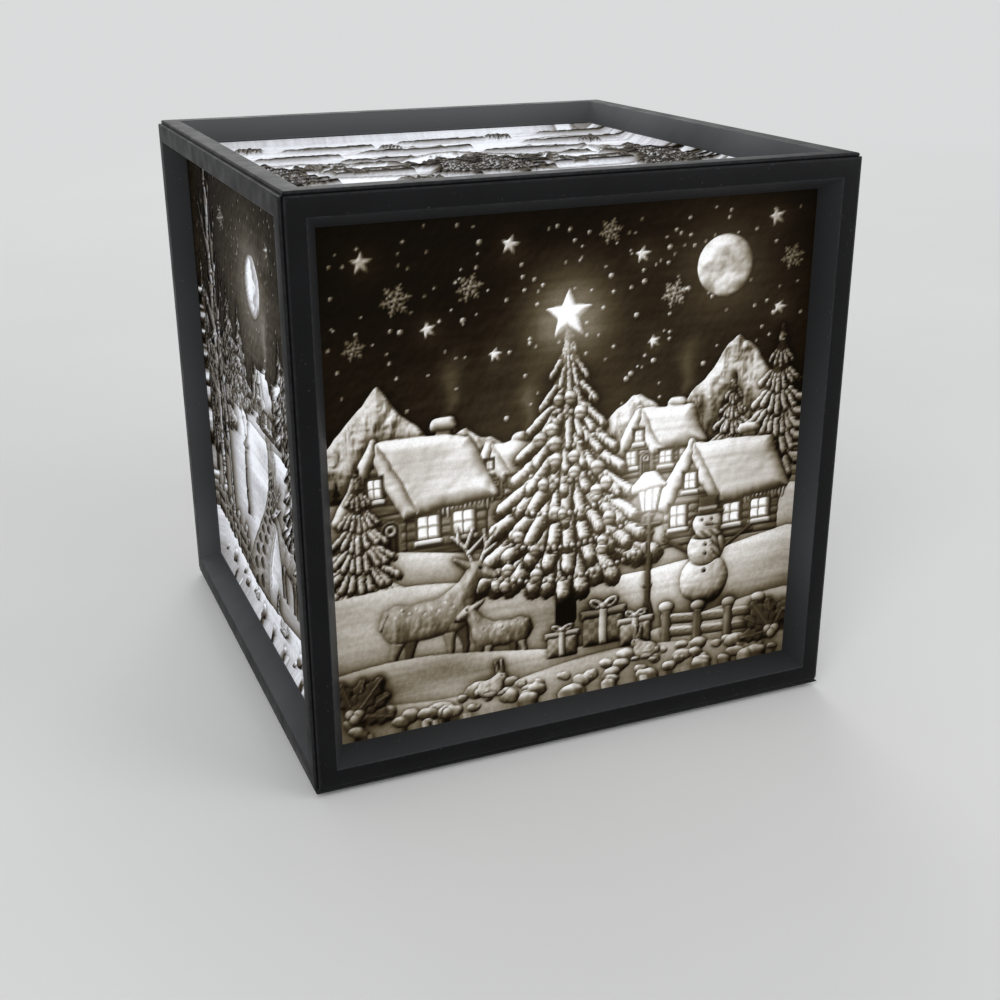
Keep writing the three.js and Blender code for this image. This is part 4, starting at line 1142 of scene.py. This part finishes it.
def node_points(name):
    return np.array([vertex.co for vertex in frame["nodes"][name].data.vertices])


def grid_faces(index):
    return np.stack((index[:-1, :-1], index[:-1, 1:], index[1:, 1:], index[1:, :-1]), -1).reshape(-1, 4)


def filleted(points, radius, steps):
    """A closed outline with each corner rounded, as (place, how far round the corner from 0 to 1)."""
    rounded = []
    for before, corner, after in zip(points[-1:] + points[:-1], points, points[1:] + points[:1]):
        b, p, a = Vector(before), Vector(corner), Vector(after)
        into, out = (b - p).normalized(), (a - p).normalized()
        half = into.angle(out) / 2
        reach = min(radius / math.tan(half), 0.45 * min((b - p).length, (a - p).length))
        middle = p + (into + out).normalized() * (reach / math.cos(half))
        arm = p + into * reach - middle
        sweep = math.copysign(math.pi - 2 * half, into.cross(out))
        for k in range(steps + 1):
            swung = Matrix.Rotation(-sweep * k / steps, 2) @ arm
            rounded.append((middle + swung, math.sin(math.pi * k / steps)))
    return rounded


# Sides of the cube, from the frame
LOW, HIGH = (np.array(corner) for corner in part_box("front_bezel"))
HALF = -LOW[1]
SETBACK = HALF - HIGH[0]
FRAME_DEPTH = HIGH[1] - LOW[1]
PANEL_LOW, PANEL_HIGH = (np.array(corner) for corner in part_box("front_lithophane"))
PANEL_HALF = PANEL_HIGH[0]
PANEL_FRONT = -PANEL_LOW[1]
PANEL_THICKNESS = PANEL_HIGH[1] - PANEL_LOW[1]
CENTRE = np.array((0, 0, (LOW[2] + HIGH[2]) / 2))
CORNERS = ((-1, -1), (1, -1), (1, 1), (-1, 1))


class Side:
    """One face of the cube: its outward, across and up directions."""

    def __init__(self, name, out, across, up):
        self.name = name
        self.out, self.across, self.up = (np.array(v, float) for v in (out, across, up))

    def at(self, u, v, w):
        """A point u across and v up from the cube's middle, w out from it."""
        ways = ((u, self.across), (v, self.up), (w, self.out))
        return CENTRE + sum(np.multiply.outer(size, way) for size, way in ways)


SIDES = (
    Side("front", (0, -1, 0), (1, 0, 0), (0, 0, 1)),
    Side("right", (1, 0, 0), (0, 1, 0), (0, 0, 1)),
    Side("back", (0, 1, 0), (-1, 0, 0), (0, 0, 1)),
    Side("left", (-1, 0, 0), (0, -1, 0), (0, 0, 1)),
    Side("top", (0, 0, 1), (1, 0, 0), (0, 1, 0)),
)

# Tones of the pictures, as shares of full light, and the colours of a lit print at such tones
PERCENTS = (0, 1, 5, 25, 50, 75, 95, 99, 100)
FRONT_TONES = (0.0, 0.015, 0.04, 0.12, 0.26, 0.60, 0.95, 1.0, 1.0)
SIDE_TONES = (0.0, 0.01, 0.04, 0.12, 0.34, 0.70, 0.97, 1.0, 1.0)
TOP_TONES = (0.0, 0.01, 0.06, 0.36, 0.76, 0.97, 1.0, 1.0, 1.0)
STOPS = (0.0, 0.07, 0.26, 0.42, 0.75, 1.0)
WARM = ((8, 5, 2), (24, 17, 9), (76, 66, 48), (117, 108, 92), (193, 189, 183), (252, 253, 255))
COOL = ((7, 5, 2), (22, 17, 10), (74, 68, 58), (114, 109, 102), (188, 189, 194), (244, 248, 255))
PICTURES = {
    "front": (village, 11, FRONT_TONES, 0.45, WARM),
    "left": (woodland, 12, SIDE_TONES, 0.15, COOL),
    "right": (frozen_lake, 13, SIDE_TONES, 0.3, COOL),
    "back": (hillside, 14, SIDE_TONES, 0.3, WARM),
    "top": (cloudy_hills, 15, TOP_TONES, 0.1, COOL),
}
LINES = 312


def drawn_picture(side):
    """Tones of a side's picture and the linear light it gives at each point of the relief."""
    picture, seed, tones, corner, colours = PICTURES[side.name]
    inside = LINES - 2
    fine = Carving(2 * inside, seed)
    picture(fine)
    tone = fine.toned(PERCENTS, tones, corner).reshape(inside, 2, inside, 2).mean((1, 3))
    coded = np.stack([np.interp(tone, STOPS, channel) for channel in np.array(colours).T / 255], -1)
    return tone, np.where(coded <= 0.04045, coded / 12.92, ((coded + 0.055) / 1.055) ** 2.4)


# Window frames
ROUND_STEPS = 5
EDGE_PARTS = 24
# Strength and blur of the painted glow that the pictures give the reveals
SPILL, SPILL_BLUR = 0.14, 0.06


def light_at_edges(light):
    """How bright the picture is beside each edge part of its window, from the lower left corner round."""
    local = light.mean(-1)
    glow = 0.5 * blurred(local, SPILL_BLUR * len(light)) + 0.5 * local.mean()
    steps = np.linspace(0, len(light) - 1, EDGE_PARTS + 1)[:-1].astype(int)
    back = len(light) - 1 - steps
    return np.concatenate((glow[0, steps], glow[steps, -1], glow[-1, back], glow[back, 0])) * SPILL


def add_bezel(side, light):
    """A window frame: flat lip, sloped reveal with a faint painted glow of the picture's light, and mitred
    back.
    """
    depth = FRAME_DEPTH
    corners = [(SETBACK, 0.0), (LIP, 0.0), (LIP + SLOPE_RUN, depth), (depth + SETBACK, depth)]
    section = filleted(corners, EDGE_ROUND, ROUND_STEPS)
    inset, deep = np.array([place for place, _ in section]).T
    lip_arc, window_arc = ROUND_STEPS + 1, 2 * (ROUND_STEPS + 1)
    # Share of the painted glow across the section: rising along the reveal, with some on the window edge
    lit = np.zeros(len(section))
    lit[lip_arc + 2 : window_arc] = np.linspace(0.4, 1.0, lip_arc - 2)
    lit[window_arc : window_arc + 4] = 0.6
    rings = 4 * EDGE_PARTS
    turn = np.arange(rings) / EDGE_PARTS
    across, up = (np.interp(turn, range(5), way) for way in zip(*CORNERS, CORNERS[0]))
    reach = HALF - inset
    places = side.at(np.outer(across, reach), np.outer(up, reach), HALF - deep).reshape(-1, 3)
    index = np.arange(len(places)).reshape(rings, -1)
    faces = grid_faces(np.pad(index, ((0, 1), (0, 1)), mode="wrap").T)
    mesh = from_points(f"{side.name}_frame", places.tolist(), faces.tolist())
    # Rounded parts of the section are marked for the paler edge colour: partly wear, partly a painted
    # highlight
    note(mesh, "wear_and_highlight", np.tile([round_off for _, round_off in section], rings))
    note(mesh, "layer", np.tile(deep / LAYER * 2 * math.pi, rings))
    note(mesh, "spill", np.outer(light_at_edges(light), lit).ravel())
    piece(smoothed(mesh, FRAME_SMOOTH), "shell", "frame_black", f"{side.name}_bezel")


# Light seals
SEAL_TOP, SEAL_FOOT, SEAL_SHORT, SEAL_THICK = 0.9 * MM, 4.6 * MM, 0.4 * MM, 0.296 * MM
BOX_FACES = ((2, 3, 1, 0), (5, 7, 6, 4), (4, 6, 2, 0), (3, 7, 5, 1), (1, 5, 4, 0), (6, 7, 3, 2))


def add_seals(name, pairs, body):
    """Thin black strips lying deep in the seams between neighbouring faces of the cube."""
    places, faces = [], []
    for one, other in pairs:
        along, across = np.cross(one, other), (one - other) / math.sqrt(2)
        faces += [tuple(len(places) + k for k in corners) for corners in BOX_FACES]
        for depth in (SEAL_TOP, SEAL_FOOT):
            for end in (-1, 1):
                for part in (-1, 1):
                    reach = (HALF - depth) * (one + other) + end * (HALF - depth - SEAL_SHORT) * along
                    places.append(tuple(CENTRE + reach + part * SEAL_THICK / 2 * across))
    piece(from_points(name, places, faces), body, "frame_black")


# Picture panels
PANEL_BACK = (0.6, 0.6, 0.62)
PANEL_RIM = (0.2, 0.2, 0.205)
MAP_LOW, MAP_HIGH = 0.04, 0.94
STRIPS = ((0, MAP_LOW, -1), (1, MAP_HIGH, 1), (0, MAP_HIGH, 1), (1, MAP_LOW, -1))
STRIP_NEAR, STRIP_FAR = 0.006, 0.03
BACK_SPOT = ((0.99, 0.99), (0.975, 0.99), (0.975, 0.975), (0.99, 0.975))


def add_panel(side, tone, light):
    """A mitred panel with the picture in relief: thick where it is dark and thin where it shines."""
    edge = PANEL_HALF - PICTURE_MARGIN
    axis = np.concatenate(([-PANEL_HALF], np.linspace(-edge, edge, LINES - 2), [PANEL_HALF]))
    depth = np.pad(RELIEF * np.clip(blurred(tone, 0.8), 0, 1), 1)
    front = side.at(*np.meshgrid(axis, axis), PANEL_FRONT - depth).reshape(-1, 3)
    inner = PANEL_HALF - PANEL_THICKNESS
    back = [side.at(sx * inner, sy * inner, PANEL_FRONT - PANEL_THICKNESS) for sx, sy in CORNERS]
    first = LINES * LINES
    index = np.arange(first).reshape(LINES, LINES)
    faces = grid_faces(index).tolist()
    on_front = 4 * len(faces)
    for k, rim in enumerate((index[0, :], index[:, -1], index[-1, ::-1], index[::-1, 0])):
        faces.append(rim[::-1].tolist() + [first + k, first + (k + 1) % 4])
    faces.append([first + 3, first + 2, first + 1, first])
    mesh = from_points(f"{side.name}_picture", np.concatenate((front, back)).tolist(), faces)
    corners = np.empty(len(mesh.loops), int)
    mesh.loops.foreach_get("vertex_index", corners)
    framed = np.pad(light, ((1, 1), (1, 1), (0, 0)), mode="edge").reshape(-1, 3)
    colours = np.ones((len(corners), 4))
    colours[:on_front, :3] = framed[corners[:on_front]]
    colours[on_front:, :3] = np.where(corners[on_front:, None] < first, PANEL_RIM, PANEL_BACK)
    picture = mesh.color_attributes.new("picture", "FLOAT_COLOR", "CORNER")
    picture.data.foreach_set("color", colours.ravel())
    lay_out(mesh, corners, on_front, axis)
    piece(smoothed(mesh, PANEL_SMOOTH), "shell", "lithophane", f"{side.name}_lithophane")


def lay_out(mesh, corners, on_front, axis):
    """A flat map: the picture fills the square, its four edges lie round it and its back in a corner."""
    flat = MAP_LOW + (MAP_HIGH - MAP_LOW) * (axis + PANEL_HALF) / (2 * PANEL_HALF)
    spots = np.stack(np.meshgrid(flat, flat), -1).reshape(-1, 2)
    found = spots[np.minimum(corners, len(spots) - 1)]
    strips = found[on_front:-4].reshape(4, LINES + 2, 2)
    for strip, (run, line, outward) in zip(strips, STRIPS):
        strip[LINES:, run] = strip[LINES - 1, run], strip[0, run]
        strip[:LINES, 1 - run] = line + outward * STRIP_NEAR
        strip[LINES:, 1 - run] = line + outward * STRIP_FAR
    found[-4:] = BACK_SPOT
    mesh.uv_layers.new(name="OFBake").uv.foreach_set("vector", found.astype(np.float32).ravel())


# Pieces of the base, door and switch, from the frame's own shapes with rounded edges
BEVEL, CHIP_BEVEL = 0.2 * MM, 0.1 * MM
SHARP = 35
STEEP = 0.7


def add_finished(name, body, slot):
    shape = bmesh.new()
    shape.from_mesh(frame["nodes"][name].data)
    bmesh.ops.remove_doubles(shape, verts=shape.verts, dist=1e-6)
    bmesh.ops.dissolve_limit(shape, angle_limit=math.radians(1), verts=shape.verts, edges=shape.edges)
    # Bevelled edges are marked for the paler edge colour: partly wear, partly a painted highlight
    wear_and_highlight = shape.faces.layers.float.new("wear_and_highlight")
    joined = [edge for edge in shape.edges if len(edge.link_faces) == 2]
    sharp = [edge for edge in joined if edge.calc_face_angle() > math.radians(SHARP)]
    width = CHIP_BEVEL if slot == "light_chip" else BEVEL
    how = {"offset": width, "segments": 2, "profile": 0.5, "affect": "EDGES", "clamp_overlap": True}
    for face in bmesh.ops.bevel(shape, geom=sharp, **how)["faces"]:
        face[wear_and_highlight] = 1.0
    mesh = from_shape(name + "_finished", shape)
    if slot == "frame_black":
        add_print_lines(mesh)
    piece(smoothed(mesh, FINISHED_SMOOTH), body, slot, name)


def add_print_lines(mesh):
    """Phase of the print lines: slanting runs on level faces, one line per layer on upright ones."""
    turns = []
    for face in mesh.polygons:
        for k in face.vertices:
            x, y, z = mesh.vertices[k].co
            turns.append((x + y) / RUN_WIDTH if abs(face.normal.z) > STEEP else z / LAYER)
    note(mesh, "layer", np.array(turns) * 2 * math.pi, "CORNER")


# Turned pieces, from (radius, distance along) points in millimetres
def turned(name, profile, segments, middle, along=(0, 0, 1)):
    axis = Vector(along)
    aside = axis.orthogonal().normalized()
    beside = axis.cross(aside)
    places, rows, faces = [], [], []
    for radius, distance in profile:
        steps = segments if radius else 1
        rows.append(range(len(places), len(places) + steps))
        for k in range(steps):
            angle = 2 * math.pi * k / segments
            out = aside * math.cos(angle) + beside * math.sin(angle)
            places.append(Vector(middle) + axis * distance * MM + out * radius * MM)
    for low, high in zip(rows, rows[1:]):
        for k in range(segments):
            n = (k + 1) % segments
            corners = [low[k % len(low)], low[n % len(low)], high[n % len(high)], high[k % len(high)]]
            faces.append(list(dict.fromkeys(corners)))
    return smoothed(from_points(name, places, faces), TURNED_SMOOTH)


def round_upright(name):
    """Radius and height in millimetres of a round upright node, and the middle of its foot."""
    low, high = (Vector(corner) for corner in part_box(name))
    size, middle = (high - low) / MM, (low + high) / 2
    return size.x / 2, size.z, (middle.x, middle.y, low.z)


def add_foot(name, body, slot):
    """A pad with a shallow hollow underneath and a rounded lower edge."""
    radius, tall, middle = round_upright(name)
    segments, hollow, edge = 56, 0.3, 0.4
    profile = [(0, hollow), (radius * 0.55, hollow), (radius * 0.64, 0)]
    for k in range(5):
        angle = math.pi / 2 * k / 4
        profile.append((radius - edge + edge * math.sin(angle), edge - edge * math.cos(angle)))
    profile += [(radius, tall), (0, tall)]
    piece(turned(name + "_pad", profile, segments, middle), body, slot, name)


def add_standoff(name, body, slot):
    """A post with bevelled ends and a shallow groove below each."""
    radius, tall, middle = round_upright(name)
    segments, bevel, groove = 48, 0.3, 0.15
    half = [(0, 0), (radius - bevel, 0), (radius, bevel), (radius, 1.6)]
    half += [(radius - groove, 1.75), (radius - groove, 2.15), (radius, 2.3)]
    profile = half + [(r, tall - distance) for r, distance in reversed(half)]
    piece(turned(name + "_post", profile, segments, middle), body, slot, name)


def add_dome(name, body, slot):
    """A hollow dome that stands in a flat flange with a rounded rim."""
    radius, tall, middle = round_upright(name)
    segments, steps, lip, wall, flange, edge, fillet = 96, 28, 1.6, 1.5, 1.2, 0.35, 0.25
    dome = radius - lip
    angles = [math.pi / 2 * k / steps for k in range(steps)]
    profile = [(0, tall - wall)]
    profile += [((dome - wall) * math.cos(a), (tall - wall) * math.sin(a)) for a in reversed(angles)]
    profile += [(radius, 0), (radius, flange - edge)]
    profile += [(radius - edge * 0.3, flange - edge * 0.3), (radius - edge, flange)]
    profile += [(dome + fillet, flange), (dome, flange + fillet)]
    start = math.asin((flange + fillet) / tall)
    for k in range(1, steps):
        a = start + (math.pi / 2 - start) * k / steps
        profile.append((dome * math.cos(a) / math.cos(start), tall * math.sin(a)))
    profile.append((0, tall))
    piece(turned(name + "_lens", profile, segments, middle), body, slot, name)


def add_cell(name, body, slot):
    """A cell with a shrink-wrapped can, a flat negative end and a raised positive end."""
    segments, near_end = 64, 0.1 * MM
    low, high = (np.array(corner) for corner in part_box(name))
    points = node_points(name)
    middle = (low + high) / 2
    away = np.hypot(*(points - middle)[:, 1:].T) / MM
    at_high = away[points[:, 0] > high[0] - near_end].max()
    at_low = away[points[:, 0] < low[0] + near_end].max()
    flip = 1 if at_high < at_low else -1
    (length, _, wide), nub = (high - low) / MM, min(at_high, at_low)
    r, can = wide / 2, length - 1.5
    minus = [(0, 0), (r * 0.62, 0), (r * 0.66, 0.15), (r * 0.70, 0.6), (r - 0.9, 0.6)]
    wrap = [(r - 0.9, 0.35), (r - 0.35, 0.2), (r - 0.08, 0.5), (r, 1.0)]
    wrap += [(r, can * share) for share in (0.1, 0.66, 0.68, 0.70, 0.96)]
    wrap += [(r, can - 1.0), (r - 0.08, can - 0.5), (r - 0.35, can - 0.1), (r - 0.9, can)]
    plus = [(r - 0.9, can - 0.3), (nub + 0.8, can - 0.3), (nub + 0.15, can), (nub, length - 0.35)]
    plus += [(nub - 0.12, length - 0.1), (nub - 0.4, length), (0, length)]
    profile = minus + wrap + plus
    start = (low[0] if flip > 0 else high[0], middle[1], middle[2])
    mesh = turned(name + "_cell", profile, segments, start, (flip, 0, 0))
    piece(mesh, body, slot, name)
    mesh.materials.append(MATERIALS["contact_metal"])
    rows = np.repeat(np.arange(len(profile) - 1), segments)
    steel = (rows < len(minus) - 1) | (rows >= len(minus + wrap) - 1)
    mesh.polygons.foreach_set("material_index", steel.astype(int))
    note(mesh, "along", [at / length for radius, at in profile for _ in range(segments if radius else 1)])


# Small parts on the board, the door and the slider, in millimetres
RESISTOR_ROW, RESISTOR_PLACES = 27, (-9, 0, 9)
RESISTOR_WIDE, RESISTOR_TALL = 0.8, 0.6
CAP_START, CAP_END, PAD_END = 1.15, 1.6, 2.3
PAD_WIDE, PAD_TALL = 1.1, 0.12
RUN_START, RUN_AT, RUN_HALF, RUN_TALL = 17, 2.0, 0.5, 0.05
RAIL_NEAR, RAIL_FAR, RAIL_HALF = 30.5, 31.6, 14
SOLDER = ((0, 0), (1.8, 0), (1.75, 0.12), (1.3, 0.2), (1.05, 0.5), (0.75, 0.85), (0.4, 1.05), (0, 1.1))
SOLDER_X, SOLDER_INSET, SOLDER_SEGMENTS = -20.5, 1.9, 32


def add_blocks(name, boxes, level, body, slot, rounding):
    """Small rounded blocks in one mesh, each from its spans along x, y and z, over a level in metres."""
    shape = bmesh.new()
    for spans in boxes:
        low, high = (Vector(corner) for corner in zip(*(sorted(span) for span in spans)))
        middle = (low + high) / 2 * MM + Vector((0, 0, level))
        matrix = Matrix.Translation(middle) @ Matrix.Diagonal((*(high - low) * MM, 1))
        bmesh.ops.create_cube(shape, size=1, matrix=matrix)
    how = {"offset": rounding * MM, "segments": 3, "profile": 0.5, "affect": "EDGES"}
    bmesh.ops.bevel(shape, geom=shape.edges[:], **how)
    piece(smoothed(from_shape(name, shape), BLOCK_SMOOTH), body, slot)


def about(middle, half):
    return middle - half, middle + half


def add_board_parts():
    """Chip resistors in two rows beside the dome, and the solder joints of the two leads."""
    edge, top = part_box("light_board")[1][1:]
    bodies, ends = [], []
    for x in (-RESISTOR_ROW, RESISTOR_ROW):
        for y in RESISTOR_PLACES:
            bodies.append((about(x, RESISTOR_WIDE), about(y, CAP_START), (0, RESISTOR_TALL)))
            for end in (-1, 1):
                inner = y + end * CAP_START
                ends.append((about(x, RESISTOR_WIDE), (inner, y + end * CAP_END), (0, RESISTOR_TALL)))
                ends.append((about(x, PAD_WIDE), (inner, y + end * PAD_END), (0, PAD_TALL)))
    add_blocks("resistor_bodies", bodies, top, "base", "inner_black", rounding=0.08)
    add_blocks("resistor_ends", ends, top, "base", "contact_metal", rounding=0.05)
    for lead, side in (("lead_switch_to_board", 1), ("lead_battery_to_board", -1)):
        spot = (SOLDER_X * MM, side * (edge - SOLDER_INSET * MM), top)
        piece(turned(lead + "_joint", SOLDER, SOLDER_SEGMENTS, spot), "base", "contact_metal")


def add_traces():
    """Copper runs that stand a little proud under the board's white coat."""
    proud = (-RUN_TALL, RUN_TALL)
    runs = []
    for side in (-1, 1):
        for y in RESISTOR_PLACES:
            for end in (-1, 1):
                across = about(y + end * RUN_AT, RUN_HALF)
                runs.append(((side * RUN_START, side * RESISTOR_ROW), across, proud))
        runs.append(((side * RAIL_NEAR, side * RAIL_FAR), about(0, RAIL_HALF), proud))
    add_blocks("board_traces", runs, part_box("light_board")[1][2], "base", "board_white", rounding=0.03)


def add_door_grip():
    """Raised ribs on the battery door, beside the thumb notch."""
    low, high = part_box("battery_door")
    count, inset, step, half_wide, half_long, proud, sunk = 5, 5.0, 2.2, 0.5, 9, 0.35, 0.2
    places = [high[0] / MM - inset - step * k for k in range(count)]
    ribs = [(about(x, half_wide), about(0, half_long), (-proud, sunk)) for x in places]
    add_blocks("battery_door_ribs", ribs, low[2], "battery_door", "frame_black", rounding=0.3)


def add_slider_ribs():
    """Three thin ribs across the thumb face of the slider."""
    count, inset, half_wide, proud, sunk, stem_end = 3, 0.3, 0.2, 0.3, 0.2, 0.3
    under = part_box("switch_slider")[0][2]
    points = node_points("switch_slider")
    stem = points[points[:, 2] < under + stem_end * MM] / MM
    (x0, y0), (x1, y1) = stem.min(0)[:2], stem.max(0)[:2]
    places = np.linspace(x0, x1, count + 2)[1:-1]
    ribs = [(about(x, half_wide), (y0 + inset, y1 - inset), (-proud, sunk)) for x in places]
    add_blocks("switch_slider_ribs", ribs, under, "switch_slider", "knob_white", rounding=0.12)


# The whole scene
MAKERS = {
    "foot_rubber": add_foot,
    "cell_wrap": add_cell,
    "diffuser_opal": add_dome,
    "standoff_brass": add_standoff,
}
SLOTS = {part["node"]: part["material_slot"] for part in frame["record"]["subparts"]}

add_floor()
add_light()
for side in SIDES:
    tone, light = drawn_picture(side)
    add_bezel(side, light)
    add_panel(side, tone, light)
for body, names in frame["record"]["behaviour"]["bodies"].items():
    if body == "shell":
        continue
    for name in names:
        make = MAKERS.get(SLOTS[name], add_finished)
        make(name, body, SLOTS[name])
add_board_parts()
add_door_grip()
add_slider_ribs()
add_traces()
upright = [side.out for side in SIDES[:4]]
above = SIDES[4].out
seams = list(zip(upright, upright[1:] + upright[:1])) + [(out, above) for out in upright]
add_seals("seam_seals", seams, "shell")
add_seals("base_seal", [(out, -above) for out in upright], "base")
